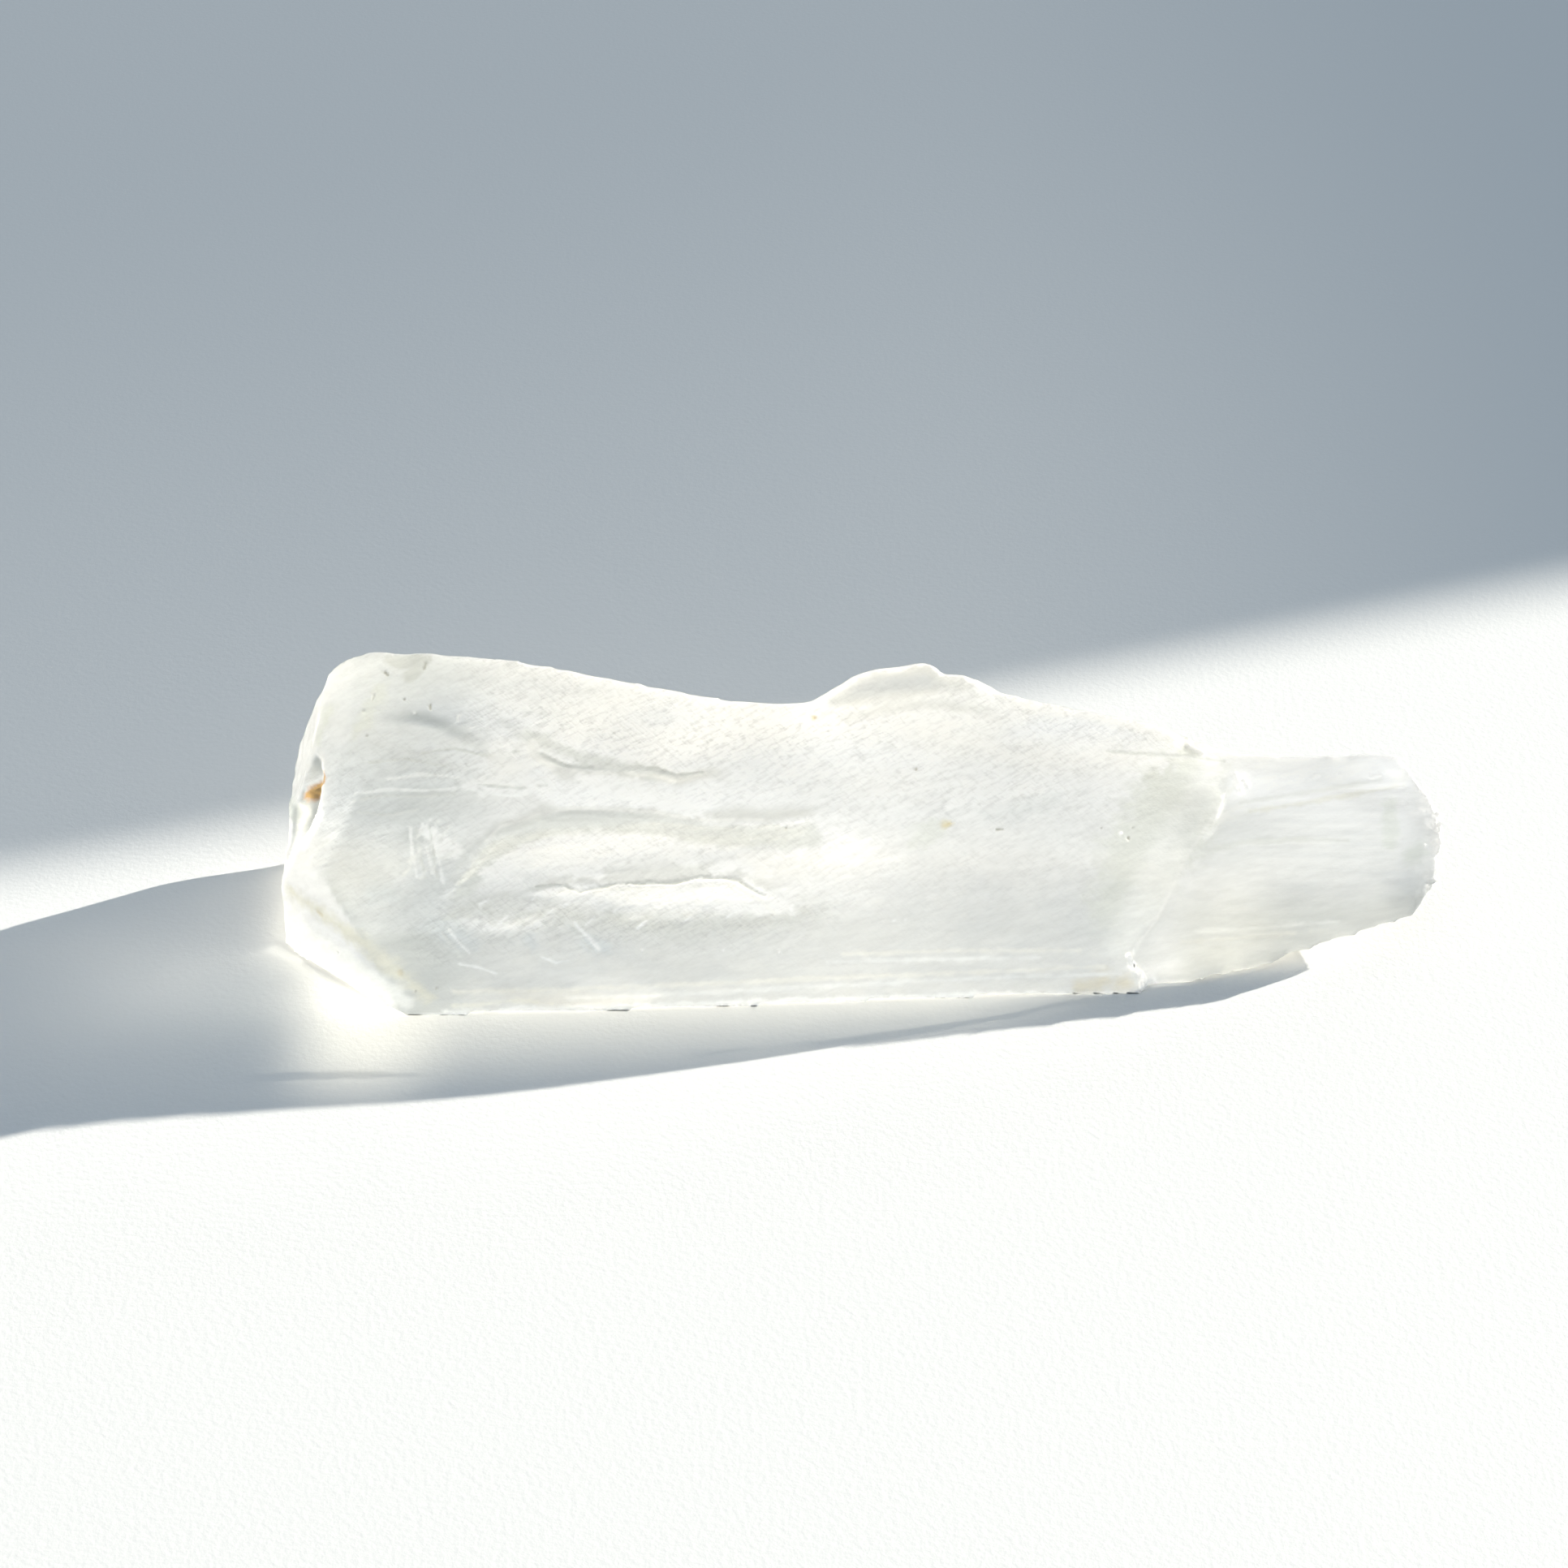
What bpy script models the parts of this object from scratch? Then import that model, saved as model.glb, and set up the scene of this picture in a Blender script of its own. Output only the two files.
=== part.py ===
"""A raw clear quartz crystal: a tapering shard that lies on one of its long faces.

It is one natural piece, so it is one solid. A body is lofted along its length from eight edge lines,
then broken the way quartz breaks: cleaved at the blunt end, stepped in ledges down its sloping face,
dished where shells of stone came away, and chipped along its edges. Run it with
blender --background --python part.py, or from Blender's text editor.

Lengths are in millimetres. x runs from the blunt end to the tip, y to the back and z up from the
surface that the crystal lies on.
"""

import math
import random

import bmesh
import bpy
from mathutils import Matrix, Vector, noise

MM = 0.001  # metres in a millimetre

# ---- driving dimensions -------------------------------------------------------------------------

LENGTH = 80.4  # blunt end to tip
MIDDLE_X = 40.085  # the middle of the finished crystal's box, which is the part's origin
MIDDLE_Y = 0.0
RUN_OUT = 3.0  # how far the loft runs past each end, for the breaks that shape the ends
STATION_STEP = 1.7  # spacing of the loft's sections

# The eight long edges, each as (x, y, z) points from the blunt end to the tip.
FRONT_FOOT = ((0, -10.1, 0), (20, -9.4, 0), (37, -8.5, 0), (48, -7.8, 0), (60, -7.3, 0),
              (66, -5.4, 0.1), (72, -3.5, 1.0), (80, -0.9, 2.3))
FRONT_SHOULDER = ((0, -7.8, 5.0), (20, -6.9, 5.4), (37, -5.9, 5.7), (50, -5.2, 5.8), (60, -4.7, 3.6),
                  (66, -3.9, 2.4), (72, -2.7, 3.2), (80, -1.2, 4.6))
FRONT_SLOPE = ((0, 0.0, 12.6), (12, -0.2, 12.2), (24, -0.3, 11.2), (36, 0.0, 10.6), (45, 0.0, 11.4),
               (56, 0.2, 10.6), (61, 0.8, 9.6), (66, 2.6, 9.6), (80, 4.0, 9.9))
CREST = ((0, 8.4, 16.8), (5, 8.1, 18.2), (9, 7.8, 18.3), (14, 7.5, 17.9), (22, 7.2, 16.5), (28, 6.9, 15.1),
         (35, 6.9, 14.6), (38, 6.9, 15.0), (42, 6.8, 15.6), (47, 6.6, 16.1), (50, 6.4, 15.4), (54, 6.3, 14.6),
         (60, 6.1, 13.3), (63.5, 6.0, 11.7), (66, 5.9, 10.9), (72, 5.8, 10.7), (76.5, 5.6, 10.9),
         (80, 5.5, 10.4))
BACK_CREST = ((0, 9.1, 15.4), (9, 8.8, 16.9), (22, 8.4, 15.0), (35, 8.1, 12.9), (43, 8.2, 14.3),
              (54, 7.7, 12.8), (66, 7.0, 9.4), (80, 6.7, 9.0))
BACK_BULGE = ((0, 9.7, 8.0), (20, 9.5, 8.2), (40, 9.1, 7.6), (60, 8.0, 6.6), (70, 7.3, 6.4), (80, 6.7, 6.8))
BACK_LOW = ((0, 9.7, 2.6), (20, 9.3, 2.8), (40, 8.9, 2.6), (60, 7.6, 2.4), (70, 6.8, 3.4), (80, 6.2, 4.8))
BACK_FOOT = ((0, 7.8, 0), (20, 7.6, 0), (40, 7.2, 0), (60, 6.0, 0), (66, 4.8, 0.2), (72, 3.8, 1.2),
             (80, 3.0, 2.6))
EDGES = (FRONT_FOOT, FRONT_SHOULDER, FRONT_SLOPE, CREST, BACK_CREST, BACK_BULGE, BACK_LOW, BACK_FOOT)
SPANS = (3, 4, 4, 1, 3, 2, 1, 4)  # faces across each side, from its edge to the next

# Slow swells of the long faces, faded out at the foot so that the resting face stays flat.
SWELL = 0.3
SWELL_LENGTH = 6.0
SWELL_FADE = 3.0  # height over which the swells come in


# ---- small helpers ------------------------------------------------------------------------------

def clear_scene():
    for thing in list(bpy.data.objects):
        bpy.data.objects.remove(thing)


def new_collection(name):
    group = bpy.data.collections.new(name)
    bpy.context.scene.collection.children.link(group)
    return group


def object_from(bm, name, group):
    """A bmesh in millimetres as an object in metres, with the middle of the crystal's box as its origin."""
    bm.normal_update()
    bmesh.ops.recalc_face_normals(bm, faces=bm.faces)
    bm.transform(Matrix.Scale(MM, 4) @ Matrix.Translation((-MIDDLE_X, -MIDDLE_Y, 0)))
    mesh = bpy.data.meshes.new(name)
    bm.to_mesh(mesh)
    bm.free()
    thing = bpy.data.objects.new(name, mesh)
    group.objects.link(thing)
    return thing


def slope_between(points, k, axis):
    """The slope of the line from point k to the next, held to the line's ends."""
    k = min(max(k, 0), len(points) - 2)
    return (points[k + 1][axis] - points[k][axis]) / (points[k + 1][0] - points[k][0])


def on_edge(points, x):
    """The point at x on a smooth line through points, with no overshoot between them."""
    x_held = min(max(x, points[0][0]), points[-1][0])
    i = max(k for k in range(len(points) - 1) if points[k][0] <= x_held)
    width = points[i + 1][0] - points[i][0]
    t = (x_held - points[i][0]) / width
    values = []
    for axis in (1, 2):
        tangents = []
        for k in (i, i + 1):
            before, after = slope_between(points, k - 1, axis), slope_between(points, k, axis)
            flat = before * after <= 0
            tangents.append(0.0 if flat else 2 * before * after / (before + after))
        low, high = points[i][axis], points[i + 1][axis]
        values.append(low * (1 + 2 * t) * (1 - t) ** 2 + tangents[0] * width * t * (1 - t) ** 2
                      + high * t * t * (3 - 2 * t) + tangents[1] * width * t * t * (t - 1))
    return Vector((x, *values))


def spline(points, steps):
    """A smooth line through points, with that many steps between each two."""
    points = [Vector(p) for p in points]
    padded = [2 * points[0] - points[1], *points, 2 * points[-1] - points[-2]]
    line = []
    for a, b, c, d in zip(padded, padded[1:], padded[2:], padded[3:]):
        for step in range(steps):
            t = step / steps
            line.append(0.5 * (2 * b + (c - a) * t + (2 * a - 5 * b + 4 * c - d) * t * t
                               + (3 * b - a - 3 * c + d) * t ** 3))
    return line + [points[-1]]


def slope_height(x, y):
    """Height of the sloping face at x and y, before anything is broken from it."""
    line = [on_edge(edge, x) for edge in (FRONT_FOOT, FRONT_SHOULDER, FRONT_SLOPE, CREST)]
    if y <= line[0].y:
        return line[0].z
    for low, high in zip(line, line[1:]):
        if y <= high.y:
            return low.z + (high.z - low.z) * (y - low.y) / (high.y - low.y)
    return line[-1].z


def on_slope(x, y):
    """The point of the sloping face at x and y, and the face's outward normal there."""
    along = Vector((2, 0, slope_height(x + 1, y) - slope_height(x - 1, y)))
    across = Vector((0, 2, slope_height(x, y + 1) - slope_height(x, y - 1)))
    return Vector((x, y, slope_height(x, y))), along.cross(across).normalized()


# ---- the body -----------------------------------------------------------------------------------

def section(x):
    """The ring of points round the crystal at x."""
    corners = [on_edge(edge, x) for edge in EDGES]
    ring = []
    for corner, following, spans in zip(corners, corners[1:] + corners[:1], SPANS):
        ring += [corner.lerp(following, k / spans) for k in range(spans)]
    return ring


def make_body(group):
    count = round((LENGTH + 2 * RUN_OUT) / STATION_STEP)
    bm = bmesh.new()
    rings, middles = [], []
    for k in range(count + 1):
        line = section(-RUN_OUT + k * (LENGTH + 2 * RUN_OUT) / count)
        middle = sum(line, Vector()) / len(line)
        ring = []
        for point in line:
            fade = min(1.0, max(0.0, point.z / SWELL_FADE))
            swell = SWELL * fade * noise.fractal(point / SWELL_LENGTH, 0.9, 2.1, 2)
            ring.append(bm.verts.new(point + swell * (point - middle).normalized()))
        rings.append(ring)
        middles.append(middle)
    for ring, following in zip(rings, rings[1:]):
        for k in range(len(ring)):
            j = (k + 1) % len(ring)
            bm.faces.new((ring[k], ring[j], following[j], following[k]))
    for ring, middle in ((rings[0], middles[0]), (rings[-1], middles[-1])):
        hub = bm.verts.new(middle)
        for k in range(len(ring)):
            bm.faces.new((ring[k], ring[(k + 1) % len(ring)], hub))
    bmesh.ops.triangulate(bm, faces=bm.faces)
    return object_from(bm, "quartz_crystal", group)


def crest_flake(group):
    """The thin upright flake left standing on the crest, which ends in a small step towards the tip."""
    outline = ((36.0, 14.2), (37.4, 15.2), (38.4, 15.9), (39.4, 16.7), (40.8, 17.2), (42.4, 17.4), (44.1, 17.75),
               (45.0, 17.5), (45.35, 16.75), (46.9, 16.75), (48.3, 16.1), (50.5, 14.6), (50.5, 12.5), (36.0, 12.0))
    bm = bmesh.new()
    near, ridge, far = [], [], []
    for x, z in outline:
        above = max(0.0, z - 14.0)
        near.append(bm.verts.new((x, 6.1 + 0.14 * above, z - 0.35)))
        ridge.append(bm.verts.new((x, 6.7 + 0.08 * above, z)))
        far.append(bm.verts.new((x, 8.3 - 0.12 * above, z - 0.9)))
    bm.faces.new(near)
    bm.faces.new(list(reversed(far)))
    for side, following in ((near, ridge), (ridge, far)):
        for k in range(len(side)):
            j = (k + 1) % len(side)
            bm.faces.new((side[j], side[k], following[k], following[j]))
    bmesh.ops.triangulate(bm, faces=bm.faces)
    return object_from(bm, "crest_flake", group)


# ---- what broke away ----------------------------------------------------------------------------

def prism_above(floor, top, name, group):
    """The space over a line of floor points, up to the height top."""
    bm = bmesh.new()
    low = [bm.verts.new(point) for point in floor]
    high = [bm.verts.new((point.x, point.y, top)) for point in floor]
    bm.faces.new(low)
    bm.faces.new(list(reversed(high)))
    for k in range(len(low)):
        j = (k + 1) % len(low)
        bm.faces.new((low[j], low[k], high[k], high[j]))
    bmesh.ops.triangulate(bm, faces=bm.faces)
    return object_from(bm, name, group)


def ledge(name, group, rim, tread, out, top, jag=0.3):
    """A step down the sloping face: a wall along rim, and below it a tread that runs out of the face.

    rim holds (x, y, wall) points, where wall is the step's height, and is nothing at both ends. tread
    is how much the tread rises for each millimetre to the back, and jag how uneven the rim is. What
    breaks away reaches out to the front and up to top, which differ from ledge to ledge.
    """
    steps = 4
    line = spline(rim, steps)
    seed = Vector((0, out, top))
    bm = bmesh.new()
    rows = []
    for point in line:
        y = point.y + jag * noise.noise(Vector((point.x / 1.4, 0, 0)) + seed)
        drop = max(0.0, point.z) - 0.02
        floor = slope_height(point.x, point.y) - drop
        rows.append([bm.verts.new((point.x, y, floor + tread * (y - point.y))),
                     bm.verts.new((point.x, -out, floor - tread * (point.y + out))),
                     bm.verts.new((point.x, -out, top)),
                     bm.verts.new((point.x, y + 0.06 * (top - floor), top))])
    for row, following in zip(rows, rows[1:]):
        for k in range(4):
            j = (k + 1) % 4
            bm.faces.new((row[k], row[j], following[j], following[k]))
    bm.faces.new(rows[0])
    bm.faces.new(list(reversed(rows[-1])))
    bmesh.ops.triangulate(bm, faces=bm.faces)
    return object_from(bm, name, group)


def fracture(name, group, point, normal, size=14.0, grid=12, rough=0.3, grain=3.5, swollen=0.0):
    """A slab that breaks the stone off at an uneven face through point, on the side of normal.

    rough is how uneven the broken face is, grain the size of its bumps, and swollen how far the stone
    left behind bulges at its middle.
    """
    bm = bmesh.new()
    bmesh.ops.create_grid(bm, x_segments=grid, y_segments=grid, size=size)
    lid = bmesh.ops.extrude_face_region(bm, geom=bm.faces[:])
    raised = {part for part in lid["geom"] if isinstance(part, bmesh.types.BMVert)}
    seed = Vector((sum(ord(letter) for letter in name) * 0.37, 0, 0))
    for vert in bm.verts:
        if vert in raised:
            vert.co.z += size
            continue
        away = (vert.co.x ** 2 + vert.co.y ** 2) / size ** 2
        uneven = noise.fractal(vert.co / grain + seed, 0.9, 2.1, 3)
        vert.co.z = rough * uneven + swollen * max(0.0, 1 - 3 * away)
    turn = Vector(normal).to_track_quat("Z", "Y").to_matrix().to_4x4()
    bm.transform(Matrix.Translation(point) @ turn)
    return object_from(bm, name, group)


def dish(name, group, point, normal, length, width, depth, turn=0.0, uneven=0.3, detail=3):
    """The shallow hollow that a shell of stone leaves: the cap of an uneven ellipsoid, sunk in a face.

    turn is how far its length is turned from the crystal's, in degrees, seen from outside. uneven is
    how rough the hollow is, as a share of its depth.
    """
    height = 3 * depth  # half the ellipsoid's height
    spread = math.sqrt(1 - (1 - depth / height) ** 2)
    normal = Vector(normal).normalized()
    lengthwise = Vector((0, 0, 1)) if abs(normal.x) > 0.95 else Vector((1, 0, 0))
    along = (lengthwise - normal * lengthwise.dot(normal)).normalized()
    axes = Matrix((along, normal.cross(along), normal)).transposed().to_4x4()
    spin = Matrix.Rotation(math.radians(turn), 4, "Z")
    size = Matrix.Diagonal((length / 2 / spread, width / 2 / spread, height, 1))
    bm = bmesh.new()
    bmesh.ops.create_icosphere(bm, subdivisions=detail, radius=1.0)
    bm.transform(Matrix.Translation(Vector(point) + normal * (height - depth)) @ axes @ spin @ size)
    for vert in bm.verts:
        vert.co += normal * depth * uneven * noise.fractal(vert.co / (0.3 * width), 0.8, 2.0, 3)
    return object_from(bm, name, group)


def slope_dish(name, group, x, y, length, width, depth, turn=0.0):
    point, normal = on_slope(x, y)
    return dish(name, group, point, normal, length, width, depth, turn)


def chip(name, group, point, size, rng):
    """A small flat-sided chip out of an edge."""
    bm = bmesh.new()
    bmesh.ops.create_icosphere(bm, subdivisions=1, radius=1.0)
    for vert in bm.verts:
        vert.co *= rng.uniform(0.8, 1.15)
    spin = Matrix.Rotation(rng.uniform(0, math.tau), 4, Vector((rng.gauss(0, 1), rng.gauss(0, 1), 1)))
    stretch = Matrix.Diagonal((size * rng.uniform(0.9, 1.7), size * 0.8, size * 0.6, 1))
    bm.transform(Matrix.Translation(point) @ stretch @ spin)
    return object_from(bm, name, group)


def break_blunt_end(group):
    """The base, where the crystal came off its rock: uneven faces that meet at blunt corners."""
    fracture("end_corner", group, (4.2, -5.3, 2.2), (-0.67, -0.74, 0.04), rough=0.2, swollen=0.7)
    fracture("end_wall", group, (0.0, 4.0, 3.0), (-1.0, 0.02, 0.02), rough=0.2)
    fracture("end_lean", group, (0.9, 9.0, 10.8), (-0.93, -0.1, 0.35), rough=0.4, grain=3.0)
    fracture("end_top", group, (4.9, 8.0, 18.5), (-0.62, -0.1, 0.78), rough=0.25)
    fracture("end_bevel", group, (4.6, -4.0, 8.4), (-0.55, -0.5, 0.67), size=17, grid=14, rough=0.5, grain=4.5,
             swollen=0.5)
    dish("end_cleft", group, (2.2, 1.0, 8.3), (-0.8, -0.35, 0.45), 5.2, 1.7, 0.9, turn=58)
    dish("end_pit", group, (2.3, 3.0, 11.2), (-0.75, -0.4, 0.5), 2.4, 1.5, 0.8, turn=64)
    dish("end_shell", group, (0.0, 6.2, 3.6), (-1, 0, 0), 5.4, 4.0, 0.5, turn=30)
    dish("end_facet", group, (8.2, 7.4, 18.2), (0.05, -0.45, 0.9), 4.2, 2.6, 0.5, turn=-14, uneven=0.2)


def break_tip(group):
    """The tip, snapped short: a rough end with its corners gone."""
    fracture("tip_end", group, (80.2, 1.9, 6.7), (0.995, -0.06, -0.07), size=9, grid=14, rough=0.35, grain=1.7)
    fracture("tip_top_corner", group, (79.2, 3.8, 8.7), (0.83, 0.36, 0.43), size=7, grid=12, rough=0.3, grain=1.6)
    fracture("tip_low_corner", group, (79.5, 0.1, 3.5), (0.84, -0.35, -0.42), size=7, grid=12, rough=0.35, grain=1.6)
    fracture("tip_back_corner", group, (78.6, 6.4, 6.2), (0.72, 0.66, -0.2), size=7, grid=10, rough=0.3, grain=1.9)
    dish("tip_back_shell", group, (74.5, 6.9, 7.2), (0.3, 1.0, 0.1), 8.0, 4.2, 0.7, turn=10)


def step_the_slope(group):
    """The ledges that run along the sloping face, each a wall over a tread."""
    ledge("upper_ledge", group, ((14.2, 4.2, 0), (16.8, 2.9, 0.35), (18.4, 1.7, 0.55), (20.2, 1.2, 0.65),
                                 (23.4, 1.5, 0.55), (27.3, 1.5, 0.6), (29.4, 1.9, 0.35), (31.5, 1.2, 0)),
          tread=0.56, out=13.0, top=26.0)
    ledge("main_ledge", group, ((10.6, -6.2, 0), (11.8, -4.7, 0.5), (14.2, -2.2, 1.1), (17.0, -1.2, 1.5),
                                (21.0, -0.7, 1.6), (24.5, -0.55, 1.3), (30.0, -0.55, 1.0), (35.8, -0.3, 0.5),
                                (39.5, 0.0, 0)),
          tread=0.4, out=13.4, top=26.4)
    ledge("lower_ledge", group, ((16.2, -5.4, 0), (19.3, -4.5, 0.5), (22.0, -4.1, 0.7), (25.5, -3.9, 0.9),
                                 (28.7, -3.5, 0.9), (31.3, -3.4, 0.8), (33.2, -4.1, 0.5), (35.2, -5.6, 0)),
          tread=0.42, out=13.8, top=26.8)
    ledge("crest_ledge", group, ((34.5, 4.7, 0), (38.0, 5.4, 0.3), (42.5, 5.7, 0.4), (47.0, 5.3, 0.3),
                                 (50.5, 4.4, 0)),
          tread=0.5, out=14.2, top=27.2)
    ledge("left_ledge", group, ((6.2, 3.4, 0), (8.5, 3.9, 0.3), (11.0, 3.5, 0.35), (13.5, 2.4, 0.3),
                                (15.2, 0.8, 0)),
          tread=0.5, out=14.6, top=27.6)
    fracture("crest_bevel", group, (60.5, 6.1, 13.2), (0.146, -0.414, 0.9), size=6.0, rough=0.2, grain=2.2)


def dish_the_slope(group):
    """Hollows in the sloping face, most of them long and shallow."""
    slope_dish("dish_ripple", group, 9.4, -3.2, 5.5, 3.6, 0.3, turn=68)
    slope_dish("dish_foot", group, 15.6, -6.2, 8.5, 2.2, 0.25, turn=6)
    slope_dish("dish_wave", group, 50.0, 1.6, 11.0, 2.4, 0.25, turn=-10)


def dish_the_rest(group):
    """Hollows of the back and the underside, which leave the middle of the resting face whole."""
    dish("back_dish_1", group, (12.0, 9.5, 8.5), (0, 1, 0.12), 13.0, 6.0, 0.8, turn=8)
    dish("back_dish_2", group, (27.0, 9.1, 9.6), (0, 1, 0.2), 11.0, 5.0, 0.7, turn=-14)
    dish("back_dish_3", group, (40.0, 9.1, 5.4), (0, 1, -0.05), 15.0, 4.6, 0.6, turn=4)
    dish("back_dish_4", group, (55.0, 8.1, 8.6), (0.05, 1, 0.25), 12.0, 5.0, 0.7, turn=-8)
    dish("back_dish_5", group, (64.0, 7.4, 5.2), (0.1, 1, 0), 9.0, 4.0, 0.5, turn=12)
    dish("under_dish_1", group, (20.0, -6.2, 0.0), (0, -0.1, -1), 12.0, 4.0, 0.4, turn=4)
    dish("under_dish_2", group, (36.0, 6.6, 0.0), (0, 0.15, -1), 14.0, 4.4, 0.5, turn=-6)
    dish("under_dish_3", group, (7.0, 5.6, 0.0), (-0.1, 0.1, -1), 8.0, 5.0, 0.4, turn=24)


def step_to_the_tip(group):
    """The shoulder that ends the thick body, with the face of the thinner tip set back from it."""
    rim = spline(((66.6, 9.6, 0), (65.8, 5.9, 0), (65.5, 3.6, 0), (64.0, 0.6, 0), (62.6, -1.6, 0), (60.4, -4.0, 0),
                  (58.5, -5.6, 0), (59.0, -6.8, 0), (60.2, -9.0, 0)), 3)
    outline = rim + [Vector((90, -9, 0)), Vector((90, 9.6, 0))]
    foot, foot_at_tip, bevel = Vector((60.2, -6.9, 0.0)), Vector((77.0, -2.9, 2.7)), Vector((66.0, 3.0, 9.6))
    normal = (foot_at_tip - foot).cross(bevel - foot)
    for point in outline:
        point.z = foot.z - (normal.x * (point.x - foot.x) + normal.y * (point.y - foot.y)) / normal.z
    return prism_above(outline, 26.0, "tip_shoulder", group)


def chip_the_edges(group):
    """Small chips along the crest, the foot, the shoulder of the tip and the tip's own edge."""
    rng = random.Random(11)
    places = [(on_edge(CREST, x), 0.5) for x in (11.5, 17.0, 20.5, 25.5, 30.5, 52.5, 56.5, 59.5, 62.0, 69.0, 73.5)]
    places += [(on_edge(FRONT_FOOT, x), 0.4) for x in (15.0, 26.5, 41.5, 52.0)]
    places += [(on_edge(BACK_CREST, x), 0.6) for x in (6.0, 15.5, 33.0, 47.5, 58.0, 71.0)]
    places += [(Vector((58.9, -6.1, 1.6)), 0.75), (Vector((65.5, 4.4, 11.0)), 0.7), (Vector((65.0, 2.6, 10.6)), 0.5)]
    places += [(Vector((79.9, 0.2, 6.0)), 0.5), (Vector((80.1, 2.2, 8.2)), 0.55), (Vector((79.4, 4.0, 9.4)), 0.5),
               (Vector((78.2, 5.5, 10.6)), 0.55), (Vector((79.6, -1.2, 4.3)), 0.6), (Vector((77.6, -1.9, 3.6)), 0.5)]
    for k, (point, size) in enumerate(places):
        chip(f"chip_{k + 1}", group, point, size * rng.uniform(0.85, 1.25), rng)


# ---- putting it together ------------------------------------------------------------------------

def combine(body, tools, operation):
    """Joins to the body, or cuts from it, every object of a collection of tools, one after another."""
    for tool in tools.objects:
        tool.hide_render = True
        tool.display_type = "WIRE"
        modifier = body.modifiers.new(tool.name, "BOOLEAN")
        modifier.operation = operation
        modifier.solver = "EXACT"
        modifier.object = tool


def quartz():
    material = bpy.data.materials.new("clear_quartz")
    material.use_nodes = True
    shader = material.node_tree.nodes["Principled BSDF"]
    shader.inputs["Base Color"].default_value = (0.93, 0.95, 0.92, 1)
    shader.inputs["Roughness"].default_value = 0.25
    shader.inputs["Metallic"].default_value = 0.0
    shader.inputs["IOR"].default_value = 1.544
    shader.inputs["Transmission Weight"].default_value = 0.8
    return material


def main():
    clear_scene()
    parts = new_collection("clear_quartz")
    body = make_body(parts)
    body.data.materials.append(quartz())

    flakes = new_collection("standing_flakes")
    crest_flake(flakes)
    combine(body, flakes, "UNION")

    breaks = new_collection("broken_away")
    break_blunt_end(breaks)
    break_tip(breaks)
    step_to_the_tip(breaks)
    combine(body, breaks, "DIFFERENCE")

    ledges = new_collection("ledges")
    step_the_slope(ledges)
    combine(body, ledges, "DIFFERENCE")

    hollows = new_collection("hollows")
    dish_the_slope(hollows)
    dish_the_rest(hollows)
    chip_the_edges(hollows)
    combine(body, hollows, "DIFFERENCE")


main()
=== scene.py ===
"""The looks of a raw clear quartz crystal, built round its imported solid.

The stone is one piece: a fine copy of the solid, with the relief of broken quartz carved into its
mesh, and a see-through, slightly milky material. Lengths are in millimetres in this script, and
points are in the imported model's frame: x along the crystal, y to the back, z up.
"""

import math

import bmesh
import bpy
import numpy as np
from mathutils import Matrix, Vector, noise
from mathutils.bvhtree import BVHTree


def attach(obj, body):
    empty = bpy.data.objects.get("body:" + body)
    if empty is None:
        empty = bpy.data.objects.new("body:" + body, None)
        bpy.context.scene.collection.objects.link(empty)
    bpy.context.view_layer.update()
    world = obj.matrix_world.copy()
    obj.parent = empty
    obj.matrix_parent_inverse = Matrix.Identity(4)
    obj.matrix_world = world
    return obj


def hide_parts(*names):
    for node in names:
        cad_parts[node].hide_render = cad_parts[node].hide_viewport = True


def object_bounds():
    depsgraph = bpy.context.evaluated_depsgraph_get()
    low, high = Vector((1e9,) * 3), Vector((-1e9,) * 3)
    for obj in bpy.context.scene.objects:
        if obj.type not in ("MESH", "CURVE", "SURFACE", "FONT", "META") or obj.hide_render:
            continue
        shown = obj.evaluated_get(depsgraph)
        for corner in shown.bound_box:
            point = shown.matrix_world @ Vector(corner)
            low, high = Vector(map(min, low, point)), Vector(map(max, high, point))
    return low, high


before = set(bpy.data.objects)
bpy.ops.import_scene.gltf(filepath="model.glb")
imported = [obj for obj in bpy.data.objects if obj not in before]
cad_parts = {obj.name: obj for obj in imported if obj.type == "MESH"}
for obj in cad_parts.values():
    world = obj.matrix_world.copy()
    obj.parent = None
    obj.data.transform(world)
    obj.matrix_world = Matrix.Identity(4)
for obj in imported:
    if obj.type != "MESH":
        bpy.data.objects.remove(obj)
cad_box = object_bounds()

MM = 0.001  # metres in a millimetre
STONE_NODE = "quartz_crystal"
STONE_PIECE = "quartz_crystal_stone"

# ---- the camera ---------------------------------------------------------------------------------

AIM = (-5.55, 16.8, 0.0)  # the point on the floor that the camera looks at
CAMERA_DISTANCE = 300.0
CAMERA_PITCH = 36.5  # degrees above the horizon
LENS = 93.96

# ---- the light ----------------------------------------------------------------------------------

SUN_FROM = Vector((0.90, 0.4225, 0.25)).normalized()  # towards the low key light, right and behind
SUN_SPREAD = 0.53  # degrees across, which sets how soft the shadows are
SUN_STRENGTH = 15.1
SUN_COLOUR = (1.0, 0.94, 0.835)
SKY_COLOUR = (0.711, 0.850, 0.993)
SKY_STRENGTH = 0.64
SHADE_EDGE = ((-58.2, 8.1), (53.9, 42.8))  # two points of the edge of the shade across the floor
SHADE_SOFTNESS = 11.0  # how wide that edge is
SHADE_HEIGHT = 60.0
SHADE_REACH = 900.0  # how far the card runs on, beyond the edge and past its two points

FLOOR_REACH = 1500.0
FLOOR_DROP = 0.03  # how far the floor lies under the resting face, so that the two never touch

# ---- the stone's fine surface -------------------------------------------------------------------

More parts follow.
